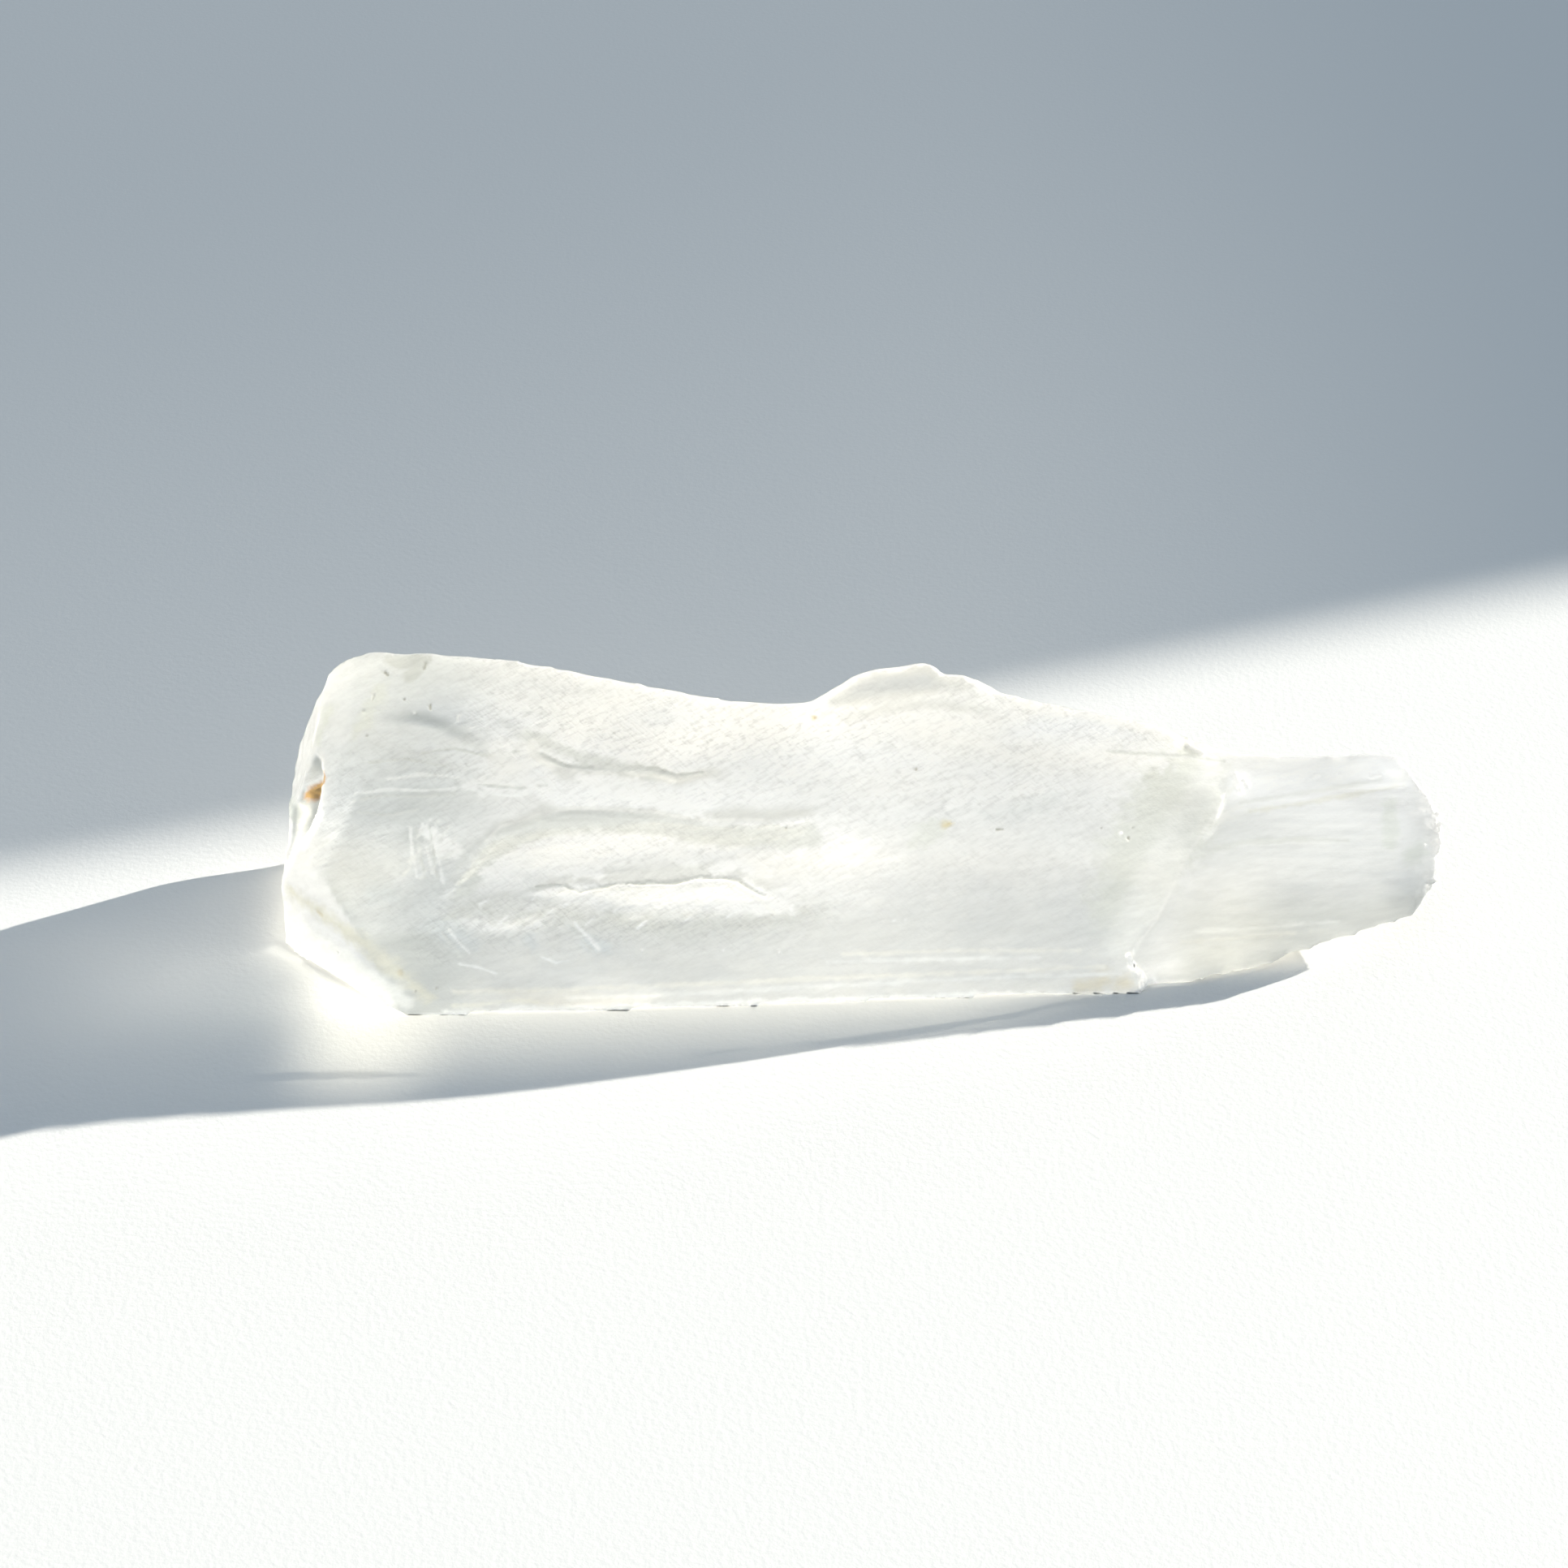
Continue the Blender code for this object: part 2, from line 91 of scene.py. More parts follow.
MESH_STEP = 0.46  # spacing of the fine mesh, halved where it is richest, and again at thin marks
THIN_MARK = 0.3  # widest radius of the marks that need the finest mesh
RESTING_SKIN = 0.5  # height over which the relief fades in above the resting face
ROUNDING = 80  # rounds of evening out where the slope rolls over into the front
SOFTENING = 10  # rounds of evening out everywhere but at the crisp edges
SLANT = math.radians(36.5)  # how far the broken slope leans back from upright, for strokes across it

# ---- the stone's material -----------------------------------------------------------------------

QUARTZ_IOR = 1.544
QUARTZ_TRANSMISSION = 0.9  # the rest is the milkiness of its skin
QUARTZ_BODY_COLOUR = (0.93, 0.95, 0.92)
QUARTZ_ABSORPTION = 9.0
PALEST = (0.985, 0.985, 0.985)  # no part of the stone is paler than this
STROKE_LEAN = 27.0  # degrees that the fine strokes lean up to the right
HATCH_LEAN = -40.0  # and the hatching across them
SUNLIGHT_TINT = (1.0, 0.98, 0.93)  # the colour of sunlight that has been through the stone
SUNLIGHT_IN = 0.88
STRIP_STRENGTH = 0.44
GLOW_PLACE = (-34.0, -12.5)  # middle of the soft glow on the floor
GLOW_REACH = (8.0, 10.0)
GLOW_STRENGTH = 0.62

# ---- the stone's marks --------------------------------------------------------------------------

# What each kind of mark does: its tint, how soft and how ragged its edge is, and how far it is sunk
# into the stone. Marks that stand proud are sunk by less than nothing. Some kinds are painted light
# or painted shade instead of the stone's own colour, as noted at each.
MARK_KINDS = {
    "top facet grey": ((0.56, 0.58, 0.56), 0.12, 0.15, 0.05),
    "pit dark": ((0.24, 0.24, 0.20), 0.06, 0.05, 0.15),
    "sage stain": ((0.74, 0.765, 0.715), 0.50, 0.50, 0.0),
    "rust": ((0.46, 0.19, 0.03), 0.12, 0.20, 0.12),
    "rust dark": ((0.18, 0.07, 0.01), 0.10, 0.08, 0.05),
    "grey lump": ((0.72, 0.76, 0.71), 0.25, 0.25, -0.25),
    "white notch": ((1.0, 1.0, 0.99), 0.15, 0.15, 0.45),
    "brown seam": ((0.66, 0.65, 0.53), 0.55, 0.40, 0.03),
    "seam dark": ((0.55, 0.50, 0.34), 0.12, 0.10, 0.05),
    # painted light: the end facet is lightened where light leaving the stone makes it glow
    "end facet painted light": ((0.93, 0.945, 0.92), 0.40, 0.30, 0.0),
    "slate patch": ((0.62, 0.66, 0.67), 0.70, 0.60, 0.0),
    # painted shade on the risers, which face away from the light
    "riser painted shade": ((0.66, 0.68, 0.65), 0.35, 0.25, 0.0),
    # painted shade in the cracks, on top of their sunk line
    "crack painted shade": ((0.42, 0.44, 0.42), 0.08, 0.08, 0.14),
    # painted shade along the lower band of the front, where the shadow under the stone shows through
    "band painted shade": ((0.61, 0.62, 0.58), 0.90, 0.60, 0.0),
    # painted light on the treads, which catch the light
    "tread painted light": ((1.0, 1.0, 1.0), 0.20, 0.45, 0.0),
    # painted light on the sunlit saddle of the upper slope
    "saddle painted light": ((1.0, 1.0, 1.0), 0.80, 0.60, 0.0),
    # painted light on the sunlit ripples of the upper slope
    "wave painted light": ((1.0, 1.0, 1.0), 0.30, 0.50, 0.0),
    "slate faint": ((0.78, 0.80, 0.80), 0.50, 0.50, 0.0),
    "ochre spot": ((0.66, 0.54, 0.24), 0.15, 0.12, 0.0),
    "olive cloud": ((0.70, 0.72, 0.655), 1.20, 0.80, 0.0),
    "rust foot": ((0.62, 0.57, 0.43), 0.70, 0.50, 0.0),
    "foot seam": ((0.78, 0.78, 0.70), 0.15, 0.20, 0.0),
    "tip grey": ((0.80, 0.83, 0.79), 0.35, 0.30, 0.0),
    "tip bright": ((1.0, 1.0, 0.98), 0.30, 0.30, 0.0),
    "shoulder dark": ((0.84, 0.85, 0.81), 0.80, 0.40, 0.0),
    # painted shade and painted highlight along the broken edges
    "edge painted shade": ((0.72, 0.74, 0.71), 0.09, 0.08, 0.04),
    "edge painted highlight": ((0.90, 0.90, 0.87), 0.14, 0.10, 0.0),
    # painted highlight on chips that stand proud and catch the light
    "chip painted highlight": ((1.0, 1.0, 1.0), 0.06, 0.06, -0.20),
    "wisp dark": ((0.64, 0.66, 0.64), 0.07, 0.08, 0.05),
    "wisp bright": ((0.94, 0.95, 0.95), 0.07, 0.08, -0.03),
    "streak bright": ((0.85, 0.86, 0.84), 0.14, 0.12, -0.02),
    "streak dark": ((0.84, 0.83, 0.76), 0.16, 0.14, 0.02),
    # painted shade low on the tip
    "tip painted shade": ((0.52, 0.53, 0.50), 1.60, 0.60, 0.0),
    "foot lip": ((0.97, 0.98, 0.96), 0.10, 0.14, 0.0),
    "glint": ((1.0, 1.0, 1.0), 0.05, 0.0, -0.12),
}

# Each mark: its kind, and a line of balls (x, y, z, radius) that it fills.
MARKS = (
    # Painted light on the end facet.
    ("end facet painted light", ((-39.5, -2.6, 2.9, 0.89), (-38, -4.2, 1.7, 1.23), (-35.3, -6.7, 1.9, 1.12),
                   (-33, -8.6, 1.7, 0.89), (-31.4, -9.4, 0.9, 0.56))),
    ("slate patch", ((-33.4, -5.6, 7.1, 0.61), (-32.2, -5.5, 7.1, 0.56))),
    ("slate patch", ((-29.4, -6.8, 5.7, 0.5), (-28.2, -7.1, 5.4, 0.73), (-27.1, -7.5, 4.5, 0.61))),
    ("slate patch", ((-19, -7.2, 4.5, 0.5), (-18, -7.4, 4, 0.56))),
    ("slate patch", ((-22.7, -7.4, 4.6, 0.39),)),
    # Painted shade along the lower band of the front.
    ("band painted shade", ((-27.9, -6.1, 6.4, 0.34), (-23.5, -6.2, 5.9, 0.5), (-20.2, -6.3, 6, 0.67),
                   (-16.9, -6.5, 5.7, 0.73), (-13, -6.7, 5.3, 0.73), (-9.2, -6.4, 5.2, 0.67),
                   (-5.9, -6, 5.5, 0.61), (-3.1, -5.7, 5.9, 0.45))),
    # Painted light on the saddle of the upper slope.
    ("saddle painted light", ((-20.4, 4.6, 15, 1.23), (-15.9, 4.6, 14.3, 1.45), (-11.5, 4.5, 13.7, 1.45),
                       (-6.4, 5.4, 13.7, 1.45), (-3.1, 5.5, 14, 1.12))),
    ("olive cloud", ((22.8, 5.7, 11.8, 0.89), (20.9, 0.8, 9.5, 2.23), (18.6, -1.9, 7.3, 2.46),
                     (21, 2.8, 10.8, 1.9), (16.9, -4.4, 5, 1.68))),
    ("olive cloud", ((23.8, 2.3, 9.8, 1.12), (22.3, -0.4, 7.6, 1.12))),
    ("shoulder dark", ((24.5, 4.2, 10.5, 0.89), (22.6, 1, 9.1, 1.23), (21.1, -0.9, 7.5, 1.34),
                       (19.2, -3.5, 5.2, 1.34), (17.5, -5.5, 3.1, 1.01))),
    ("top facet grey", ((-32.4, 7.3, 17.7, 0.61), (-31.1, 7.2, 17.6, 0.78), (-30.2, 7.2, 17.8, 0.5),
                        (-31.3, 6.1, 17.1, 0.5))),
    ("pit dark", ((-33, 6.5, 17.2, 0.11), (-32.8, 6.3, 17.1, 0.07))),
    ("pit dark", ((-30.2, 6.9, 17.7, 0.11), (-30.3, 6.6, 17.4, 0.07))),
    ("pit dark", ((-33.7, 5.1, 16.2, 0.13), (-33.8, 4.9, 16, 0.08))),
    ("pit dark", ((-34.4, 4.3, 15.5, 0.12),)),
    ("pit dark", ((-31.6, 4.8, 16.1, 0.09),)),
    ("pit dark", ((-29.8, 4.5, 15.9, 0.08), (-29.8, 4.2, 15.7, 0.06))),
    ("pit dark", ((-34.1, 2.8, 14.5, 0.09),)),
    ("sage stain", ((-37, 5.5, 14.4, 0.56), (-37.5, 4.9, 13.4, 0.39), (-37.7, 4.2, 12.9, 0.34))),
    ("sage stain", ((-33.2, 5.4, 16.4, 0.5), (-34, 4.1, 15.4, 0.5), (-34.8, 3.1, 14.7, 0.5))),
    ("rust", ((-37.5, 1.9, 11.6, 0.53), (-37.7, 2.3, 10.3, 0.61), (-38, 2.2, 9.8, 0.46))),
    ("rust", ((-38.3, 2.1, 9.7, 0.38),)),
    ("rust dark", ((-37.8, 2.2, 9.6, 0.22),)),
    ("rust dark", ((-37.7, 2.3, 10.2, 0.2),)),
    ("grey lump", ((-39.7, 3.8, 7.9, 0.61), (-39.1, 1.7, 8.7, 0.67))),
    ("white notch", ((-37.6, -0.3, 10, 0.45), (-38.1, -0.8, 9.1, 0.39), (-38.5, -1.5, 8.4, 0.28))),
    ("brown seam", ((-39.6, -2.3, 4.9, 0.28), (-37.5, -4.5, 5, 0.49), (-35.7, -6.1, 4.8, 0.62),
                    (-34.1, -7.5, 4.5, 0.62), (-32.7, -8.2, 3.5, 0.56), (-31.2, -8.7, 2.4, 0.35),
                    (-29.8, -9.2, 1.2, 0.28))),
    ("seam dark", ((-37.5, -4.6, 4.9, 0.17), (-37.2, -4.8, 4.8, 0.14))),
    ("seam dark", ((-31.6, -8.5, 2.8, 0.17),)),
    ("pit dark", ((-36.1, -6, 2.5, 0.09),)),
    ("pit dark", ((-30.6, -9.1, 1.6, 0.09),)),
    ("pit dark", ((-29.2, -8.9, 1.7, 0.09),)),
    # Painted shade on the risers and in the cracks, painted light on the treads.
    ("riser painted shade", ((-27.4, -5.15, 7.3, 0.68), (-25.7, -3.25, 8.6, 0.75), (-24, -1.75, 9.2, 0.84),
                    (-21.4, -1.15, 9.8, 0.84), (-18.8, -0.85, 9.9, 0.75), (-15, -0.75, 9.5, 0.75),
                    (-11.2, -1.35, 9.1, 0.84), (-7.4, -1.55, 9, 0.92), (-3.7, -1.65, 9.2, 0.84))),
    ("crack painted shade", ((-22.1, 2, 13.4, 0.17), (-20.3, 1.4, 12.9, 0.17), (-17.7, 1.6, 12.7, 0.22),
                    (-14.5, 1.8, 12.4, 0.22), (-12.9, 1.5, 12.1, 0.14), (-11.1, 1.8, 12.1, 0.11))),
    ("riser painted shade", ((-23.1, 3.1, 14.4, 0.34), (-19.2, 2, 13.1, 0.39), (-15.9, 1.5, 12.4, 0.56),
                    (-14.8, 1.6, 12, 0.5))),
    ("crack painted shade", ((-22.4, -4.9, 7.4, 0.11), (-20.5, -4.5, 7.2, 0.11), (-19.5, -4.9, 6.9, 0.11),
                    (-16.8, -4.1, 7.1, 0.12), (-13, -3.9, 7, 0.17), (-11.2, -3.5, 7.2, 0.11),
                    (-8.7, -3.7, 7.1, 0.12), (-7.7, -4.4, 6.7, 0.11), (-6.9, -4.8, 6.5, 0.11))),
    ("tread painted light", ((-16.9, -5.1, 6.7, 0.5), (-13.1, -5, 6.5, 0.73), (-9.2, -5.2, 6.4, 0.84),
                      (-6.4, -5.5, 6.1, 0.56), (-5.2, -5.6, 6, 0.34))),
    ("tread painted light", ((-19.5, 1.3, 12.2, 0.28), (-18.1, 1, 11.7, 0.67), (-15.3, 0.7, 11.3, 0.84),
                      (-13.1, 0.1, 10.7, 0.67), (-11.4, -0.6, 10.3, 0.39), (-10.3, -0.5, 9.7, 0.22))),
    ("tread painted light", ((-25.7, -4.3, 8.1, 0.45), (-23.6, -3.8, 8.4, 1.01), (-20.8, -3.4, 8.5, 1.12),
                      (-18.6, -3.8, 8.1, 0.78))),
    ("tread painted light", ((-12.8, -2.9, 8.6, 0.56), (-11.9, -3.3, 8.2, 0.45))),
    ("tread painted light", ((-10, -3.5, 7.9, 0.56), (-8.6, -3.2, 8.2, 0.56), (-6.7, -3.7, 7.7, 0.56))),
    ("tread painted light", ((-23.4, 1.1, 12.7, 0.56), (-25.3, 0.4, 12.4, 0.5), (-26.9, -0, 12.3, 0.45),
                      (-21.7, 0.7, 12, 0.56))),
    ("tread painted light", ((-28.8, -2.9, 9.5, 0.78), (-29.7, -2.2, 10, 0.56), (-28, -3.2, 9.1, 0.45))),
    # Painted light on the ripples of the upper slope.
    ("wave painted light", ((3.3, 3.9, 13.8, 0.45), (5.6, 3.9, 14.1, 0.5), (7.5, 3.3, 13.7, 0.5),
                     (9.4, 2.6, 13, 0.45))),
    ("wave painted light", ((6.3, -0.1, 11.2, 0.56), (7.4, 0.5, 11.6, 0.73), (9.7, 0.4, 11.5, 0.73),
                     (11.9, 0.7, 11.3, 0.45))),
    ("wave painted light", ((14.2, 3.4, 12.8, 0.5), (18.8, 3.9, 12.1, 0.78), (20.5, 3.8, 11.6, 0.5))),
    ("slate faint", ((8.3, -0.9, 10.4, 0.56), (10.2, -0.6, 10.6, 0.67), (13, 0.2, 11, 0.5))),
    ("ochre spot", ((5.4, -1.4, 10, 0.34), (5.8, -1.3, 10, 0.17))),
    ("sage stain", ((4.6, -1.7, 9.8, 0.78), (3.5, -2.2, 9.3, 0.56))),
    ("ochre spot", ((-3.5, 5.6, 14, 0.2),)),
    ("rust dark", ((-3.4, 5.6, 14, 0.09),)),
    ("pit dark", ((-5.4, -1, 9.5, 0.11),)),
    ("pit dark", ((3.5, 1.8, 12.4, 0.12),)),
    ("pit dark", ((16.1, -0.4, 9.7, 0.08),)),
    ("pit dark", ((16.2, -0.7, 9.2, 0.08),)),
    ("pit dark", ((18.4, -0.4, 9, 0.11),)),
    ("pit dark", ((18.1, -0.9, 8.5, 0.11),)),
    ("pit dark", ((14.9, -4.1, 6, 0.07),)),
    ("pit dark", ((9.1, -7.7, 0.1, 0.15),)),
    ("pit dark", ((9, -1.5, 9.7, 0.11), (9.4, -1.5, 9.7, 0.09))),
    ("rust foot", ((14.7, -7.2, 0.6, 0.34), (16.4, -7, 0.9, 0.45), (18, -7, 0.7, 0.34))),
    ("foot seam", ((-28, -9.4, 0.6, 0.17), (-25.8, -9.3, 0.7, 0.17), (-23.6, -9.1, 0.9, 0.17),
                   (-21.4, -9.2, 0.6, 0.14))),
    ("tip grey", ((36.4, 2.9, 8.6, 0.5), (36.4, 1.7, 7.4, 0.56), (36.4, 0.9, 6.6, 0.45))),
    ("tip grey", ((37.8, 0.4, 5.9, 0.56), (38.5, 0.8, 6.3, 0.45))),
    ("tip bright", ((36.9, 3.9, 9.6, 0.45), (37.8, 4.5, 10.2, 0.45))),
    ("tip bright", ((24.7, 1.7, 8.4, 0.56), (26.1, 2, 8.6, 0.56))),
    # Painted highlight and painted shade along the shoulder's edges and chips.
    ("edge painted highlight", ((25.7, 3.4, 9.9, 0.12), (24.4, 1.6, 9, 0.12), (23, -0.1, 7.8, 0.12),
                     (22, -1.2, 6.8, 0.12), (20.9, -3, 5.3, 0.12), (19.9, -4.4, 3.9, 0.12),
                     (18.7, -5.3, 2.5, 0.12))),
    ("chip painted highlight", ((18.1, -6, 2.2, 0.2), (18.6, -5.9, 1.1, 0.19), (19.2, -6.4, 0.6, 0.2),
                     (19, -7.1, 0.4, 0.2))),
    ("edge painted shade", ((18.4, -6.6, 1.2, 0.11), (18.7, -7, 0.6, 0.14))),
    ("chip painted highlight", ((25.7, 4.1, 10.2, 0.2), (25.9, 3.3, 9.8, 0.25), (26, 3, 9.5, 0.17))),
    ("chip painted highlight", ((26.3, 3.7, 9.9, 0.12), (26.6, 3.2, 9.8, 0.11))),
    ("chip painted highlight", ((22.5, 5.3, 11.7, 0.14), (23.4, 5.2, 11.3, 0.17))),
    ("edge painted shade", ((16.7, 3.7, 12.5, 0.11), (18.5, 3.9, 12.2, 0.13), (21.1, 4.3, 11.7, 0.13),
                   (23.1, 4.7, 11.2, 0.13), (25, 5, 10.7, 0.11))),
    # Painted highlight and painted shade along the ledges' edges.
    ("edge painted highlight", ((-28, -4.4, 7.5, 0.12), (-26.4, -2.6, 8.8, 0.12), (-24.9, -1.6, 10, 0.13),
                     (-22.5, -1, 10.6, 0.13), (-19.9, -0.7, 10.9, 0.15), (-15, -0.4, 10.4, 0.15),
                     (-10.5, -0.6, 9.7, 0.12), (-7, -0.5, 9.8, 0.11))),
    ("edge painted shade", ((-27.8, -5.1, 7.3, 0.14), (-26, -3.2, 8.6, 0.14), (-24.6, -1.7, 9.3, 0.14),
                   (-22.5, -1.1, 10, 0.14), (-19.9, -0.7, 10.3, 0.16), (-15, -0.5, 9.8, 0.16),
                   (-10.5, -0.9, 9.4, 0.13), (-5.9, -0.8, 9.5, 0.11))),
    ("edge painted highlight", ((-20.8, -5, 7, 0.12), (-16.4, -4.5, 6.9, 0.13), (-12.7, -4.2, 6.9, 0.13),
                     (-9.2, -4.1, 6.9, 0.12), (-7.7, -4.8, 6.6, 0.11), (-6.2, -5.8, 5.8, 0.11))),
    ("edge painted highlight", ((-22.6, 2, 13, 0.11), (-19.2, 1.3, 12.4, 0.13), (-15.8, 1.4, 12.3, 0.15),
                     (-13, 1.4, 11.6, 0.12))),
    ("wisp dark", ((-34.9, -0.8, 11.6, 0.1), (-33, -0.6, 11.9, 0.11), (-30.4, -0.6, 11.8, 0.1),
                   (-28, -0.5, 11.9, 0.09))),
    ("wisp dark", ((-26.4, 0.1, 12.3, 0.1), (-23.6, 0.1, 12, 0.11), (-21.8, 0.5, 11.9, 0.09))),
    ("wisp dark", ((-34.6, -1.4, 11.1, 0.1), (-32.4, -1.5, 10.9, 0.1), (-30.5, -1.1, 11.1, 0.09))),
    ("wisp dark", ((-30.3, 1.6, 13.8, 0.09), (-28.1, 2.1, 13.9, 0.1), (-25.9, 1.9, 13.5, 0.1),
                   (-23.7, 2.2, 13.6, 0.09))),
    ("wisp dark", ((-33.9, 1.2, 13.4, 0.09), (-31.4, 1.3, 13.6, 0.1), (-28.7, 1, 13.2, 0.09))),
    ("wisp bright", ((-34.8, -0.4, 11.9, 0.11), (-32.4, -0.3, 12.2, 0.11), (-30.2, -0.3, 12.1, 0.1),
                     (-28, -0.2, 12.2, 0.09))),
    ("wisp bright", ((-25.8, 0.5, 12.6, 0.11), (-23.6, 0.4, 12.2, 0.11), (-21.7, 0.9, 12.2, 0.09))),
    ("wisp bright", ((-26.4, -0.3, 12, 0.1), (-24.2, -0.3, 11.6, 0.11), (-22.1, -0.1, 11.7, 0.09))),
    ("wisp bright", ((-32.5, 0.3, 12.6, 0.1), (-30.2, 0.5, 12.9, 0.11), (-27.8, 0.4, 12.7, 0.09))),
    ("wisp bright", ((-31, -2, 10.2, 0.1), (-30.9, -3.1, 9, 0.11), (-30.5, -4.5, 7.9, 0.1))),
    ("wisp bright", ((-30.2, -1.8, 10.4, 0.1), (-29.9, -3, 9.2, 0.11), (-29.4, -4.3, 8.1, 0.1))),
    ("wisp bright", ((-29.2, -2, 10.2, 0.1), (-29.1, -3.4, 9, 0.11), (-28.7, -4.8, 7.6, 0.1))),
    ("wisp dark", ((-30.6, -2, 10.2, 0.08), (-30.3, -3.2, 8.9, 0.09), (-29.9, -4.6, 7.9, 0.08))),
    ("wisp dark", ((-29.7, -1.9, 10.3, 0.08), (-29.4, -3.3, 9, 0.09), (-29.1, -4.5, 7.9, 0.08))),
    ("wisp dark", ((-28.7, -7.3, 5.2, 0.09), (-28.1, -7.6, 4.4, 0.1), (-27.4, -7.9, 3.7, 0.09))),
    ("wisp bright", ((-28.3, -7.1, 5.4, 0.09), (-27.6, -7.5, 4.6, 0.1), (-26.9, -7.8, 3.9, 0.09))),
    ("wisp dark", ((-20.2, -6.8, 5.5, 0.09), (-19.3, -7.2, 4.6, 0.1), (-18.6, -7.5, 3.8, 0.09))),
    ("wisp bright", ((-19.8, -6.6, 5.6, 0.09), (-18.9, -7.1, 4.8, 0.1), (-18.1, -7.4, 3.9, 0.09))),
    ("wisp bright", ((-27.6, -8.1, 3.2, 0.09), (-26.3, -8.2, 3, 0.1), (-25.1, -8.4, 2.6, 0.08))),
    ("wisp bright", ((-22, -7.8, 3.6, 0.08), (-21.1, -7.9, 3.2, 0.09), (-20.2, -7.8, 3.3, 0.08))),
    ("streak bright", ((-20.3, -9, 0.9, 0.12), (-14.7, -8.7, 0.9, 0.13), (-5.9, -8.2, 1.1, 0.15),
                       (2.7, -7.6, 1.2, 0.15), (10.8, -7.1, 1.3, 0.12), (17.5, -6.7, 1.2, 0.11))),
    ("streak dark", ((-28, -9, 1.5, 0.12), (-19.1, -8.6, 1.5, 0.15), (-9.2, -8.1, 1.6, 0.16),
                     (-0.3, -7.6, 1.7, 0.16), (7.4, -7.1, 1.7, 0.13), (16.3, -6.5, 1.7, 0.12))),
    ("streak bright", ((-2.6, -7.3, 2.7, 0.11), (5.2, -6.8, 2.6, 0.13), (11.9, -6.5, 2.5, 0.11))),
    ("streak dark", ((-1.5, -7, 3.2, 0.11), (6.3, -6.5, 3.1, 0.12), (14.7, -6.1, 2.8, 0.11))),
    ("streak dark", ((20.9, -4.6, 2.2, 0.11), (26, -4, 2.2, 0.13), (32.2, -3.3, 2.2, 0.11))),
    ("streak bright", ((20, -4.2, 2.8, 0.11), (25.4, -3.7, 2.7, 0.13), (32.8, -2.9, 2.7, 0.11))),
    ("streak dark", ((26.7, 2, 8.6, 0.13), (30.1, 2.6, 8.8, 0.16), (34.6, 3.4, 9.2, 0.16),
                     (37.5, 3.8, 9.5, 0.11))),
    ("streak bright", ((22.6, -0.8, 7, 0.17), (26.1, 0.5, 7, 0.22), (30, 0.8, 7.1, 0.22),
                       (33.4, 0.9, 6.9, 0.17))),
    ("streak bright", ((26.1, 2.4, 9, 0.17), (30.1, 3.1, 9.3, 0.19), (35.8, 4, 9.8, 0.17))),
    ("foot lip", ((-28.6, -9.6, 0.2, 0.13), (-23.6, -9.4, 0.3, 0.16), (-16.9, -9.1, 0.3, 0.16),
                  (-9.2, -8.7, 0.3, 0.16), (-1.4, -8.3, 0.3, 0.16), (7.5, -7.7, 0.2, 0.16),
                  (14.1, -7.5, 0.2, 0.12))),
    ("glint", ((-30.9, 4, 15.5, 0.09),)),
    ("glint", ((-27.8, 3.8, 15.4, 0.08), (-27.8, 3.3, 15.1, 0.07))),
    ("glint", ((-15.2, -7.4, 3.9, 0.09),)),
    ("glint", ((-9.7, -7.2, 3.7, 0.08),)),
    ("glint", ((-5.9, -7.1, 3.4, 0.08),)),
    ("glint", ((-3.9, -0.5, 9.9, 0.09),)),
    ("glint", ((-4.3, -1.7, 9.3, 0.08),)),
    ("glint", ((-7.8, -1.8, 9, 0.08),)),
    ("glint", ((-9.9, 0.8, 11.2, 0.09),)),
    ("glint", ((-9.9, 0.1, 10.8, 0.08),)),
    ("glint", ((-11.8, -0.6, 10, 0.09),)),
    ("glint", ((17.5, -0.8, 8.8, 0.13),)),
    ("glint", ((4.4, 1.6, 12.3, 0.11),)),
    ("glint", ((4.1, -5.4, 5.9, 0.09),)),
    ("glint", ((4.6, -5.4, 5.9, 0.09),)),
    ("glint", ((5.2, -5.3, 5.9, 0.08),)),
    ("glint", ((5.7, -5.3, 5.9, 0.09),)),
    ("glint", ((6.3, -5.2, 6, 0.08),)),
    ("glint", ((6.8, -5.1, 6, 0.09),)),
    ("glint", ((7.4, -5.1, 6, 0.09),)),
    ("glint", ((7.9, -5, 6.1, 0.08),)),
    ("glint", ((8.5, -4.9, 6.1, 0.09),)),
    ("glint", ((9.1, -4.9, 6.1, 0.08),)),
    ("glint", ((9.6, -4.8, 6.2, 0.09),)),
    ("glint", ((39.6, 2, 7.4, 0.17), (39.7, 1.8, 7.2, 0.11))),
    ("glint", ((39.9, 0.9, 6.3, 0.13), (39.9, 0.6, 6, 0.11))),
    ("glint", ((39.5, 2.6, 8.1, 0.11),)),
    ("glint", ((31.2, 4.2, 9.9, 0.11), (31.6, 4.3, 10, 0.09))),
    ("glint", ((33.1, 4.3, 10, 0.1),)),
    ("glint", ((35.2, 4.1, 10, 0.11), (35.8, 4.2, 10, 0.1))),
    ("glint", ((-23.7, 3.1, 14.1, 0.08),)),
    ("glint", ((-20.4, 3.4, 14.2, 0.08),)),
    ("glint", ((-18, 2.7, 13.5, 0.08),)),
    ("glint", ((-16.8, 4, 14.1, 0.08),)),
    ("glint", ((-13.7, 2.5, 12.8, 0.08),)),
    ("glint", ((-9, 3.3, 12.8, 0.08),)),
    ("glint", ((-7, 4.6, 13.3, 0.08),)),
    ("glint", ((-3.7, 3.2, 12.6, 0.08),)),
    ("glint", ((-0.3, 3.8, 13.2, 0.08),)),
    ("glint", ((-10.9, 4.3, 13.5, 0.07),)),
    ("wisp bright", ((1.2, -6, 5.1, 0.08), (1.6, -5.9, 5.3, 0.07))),
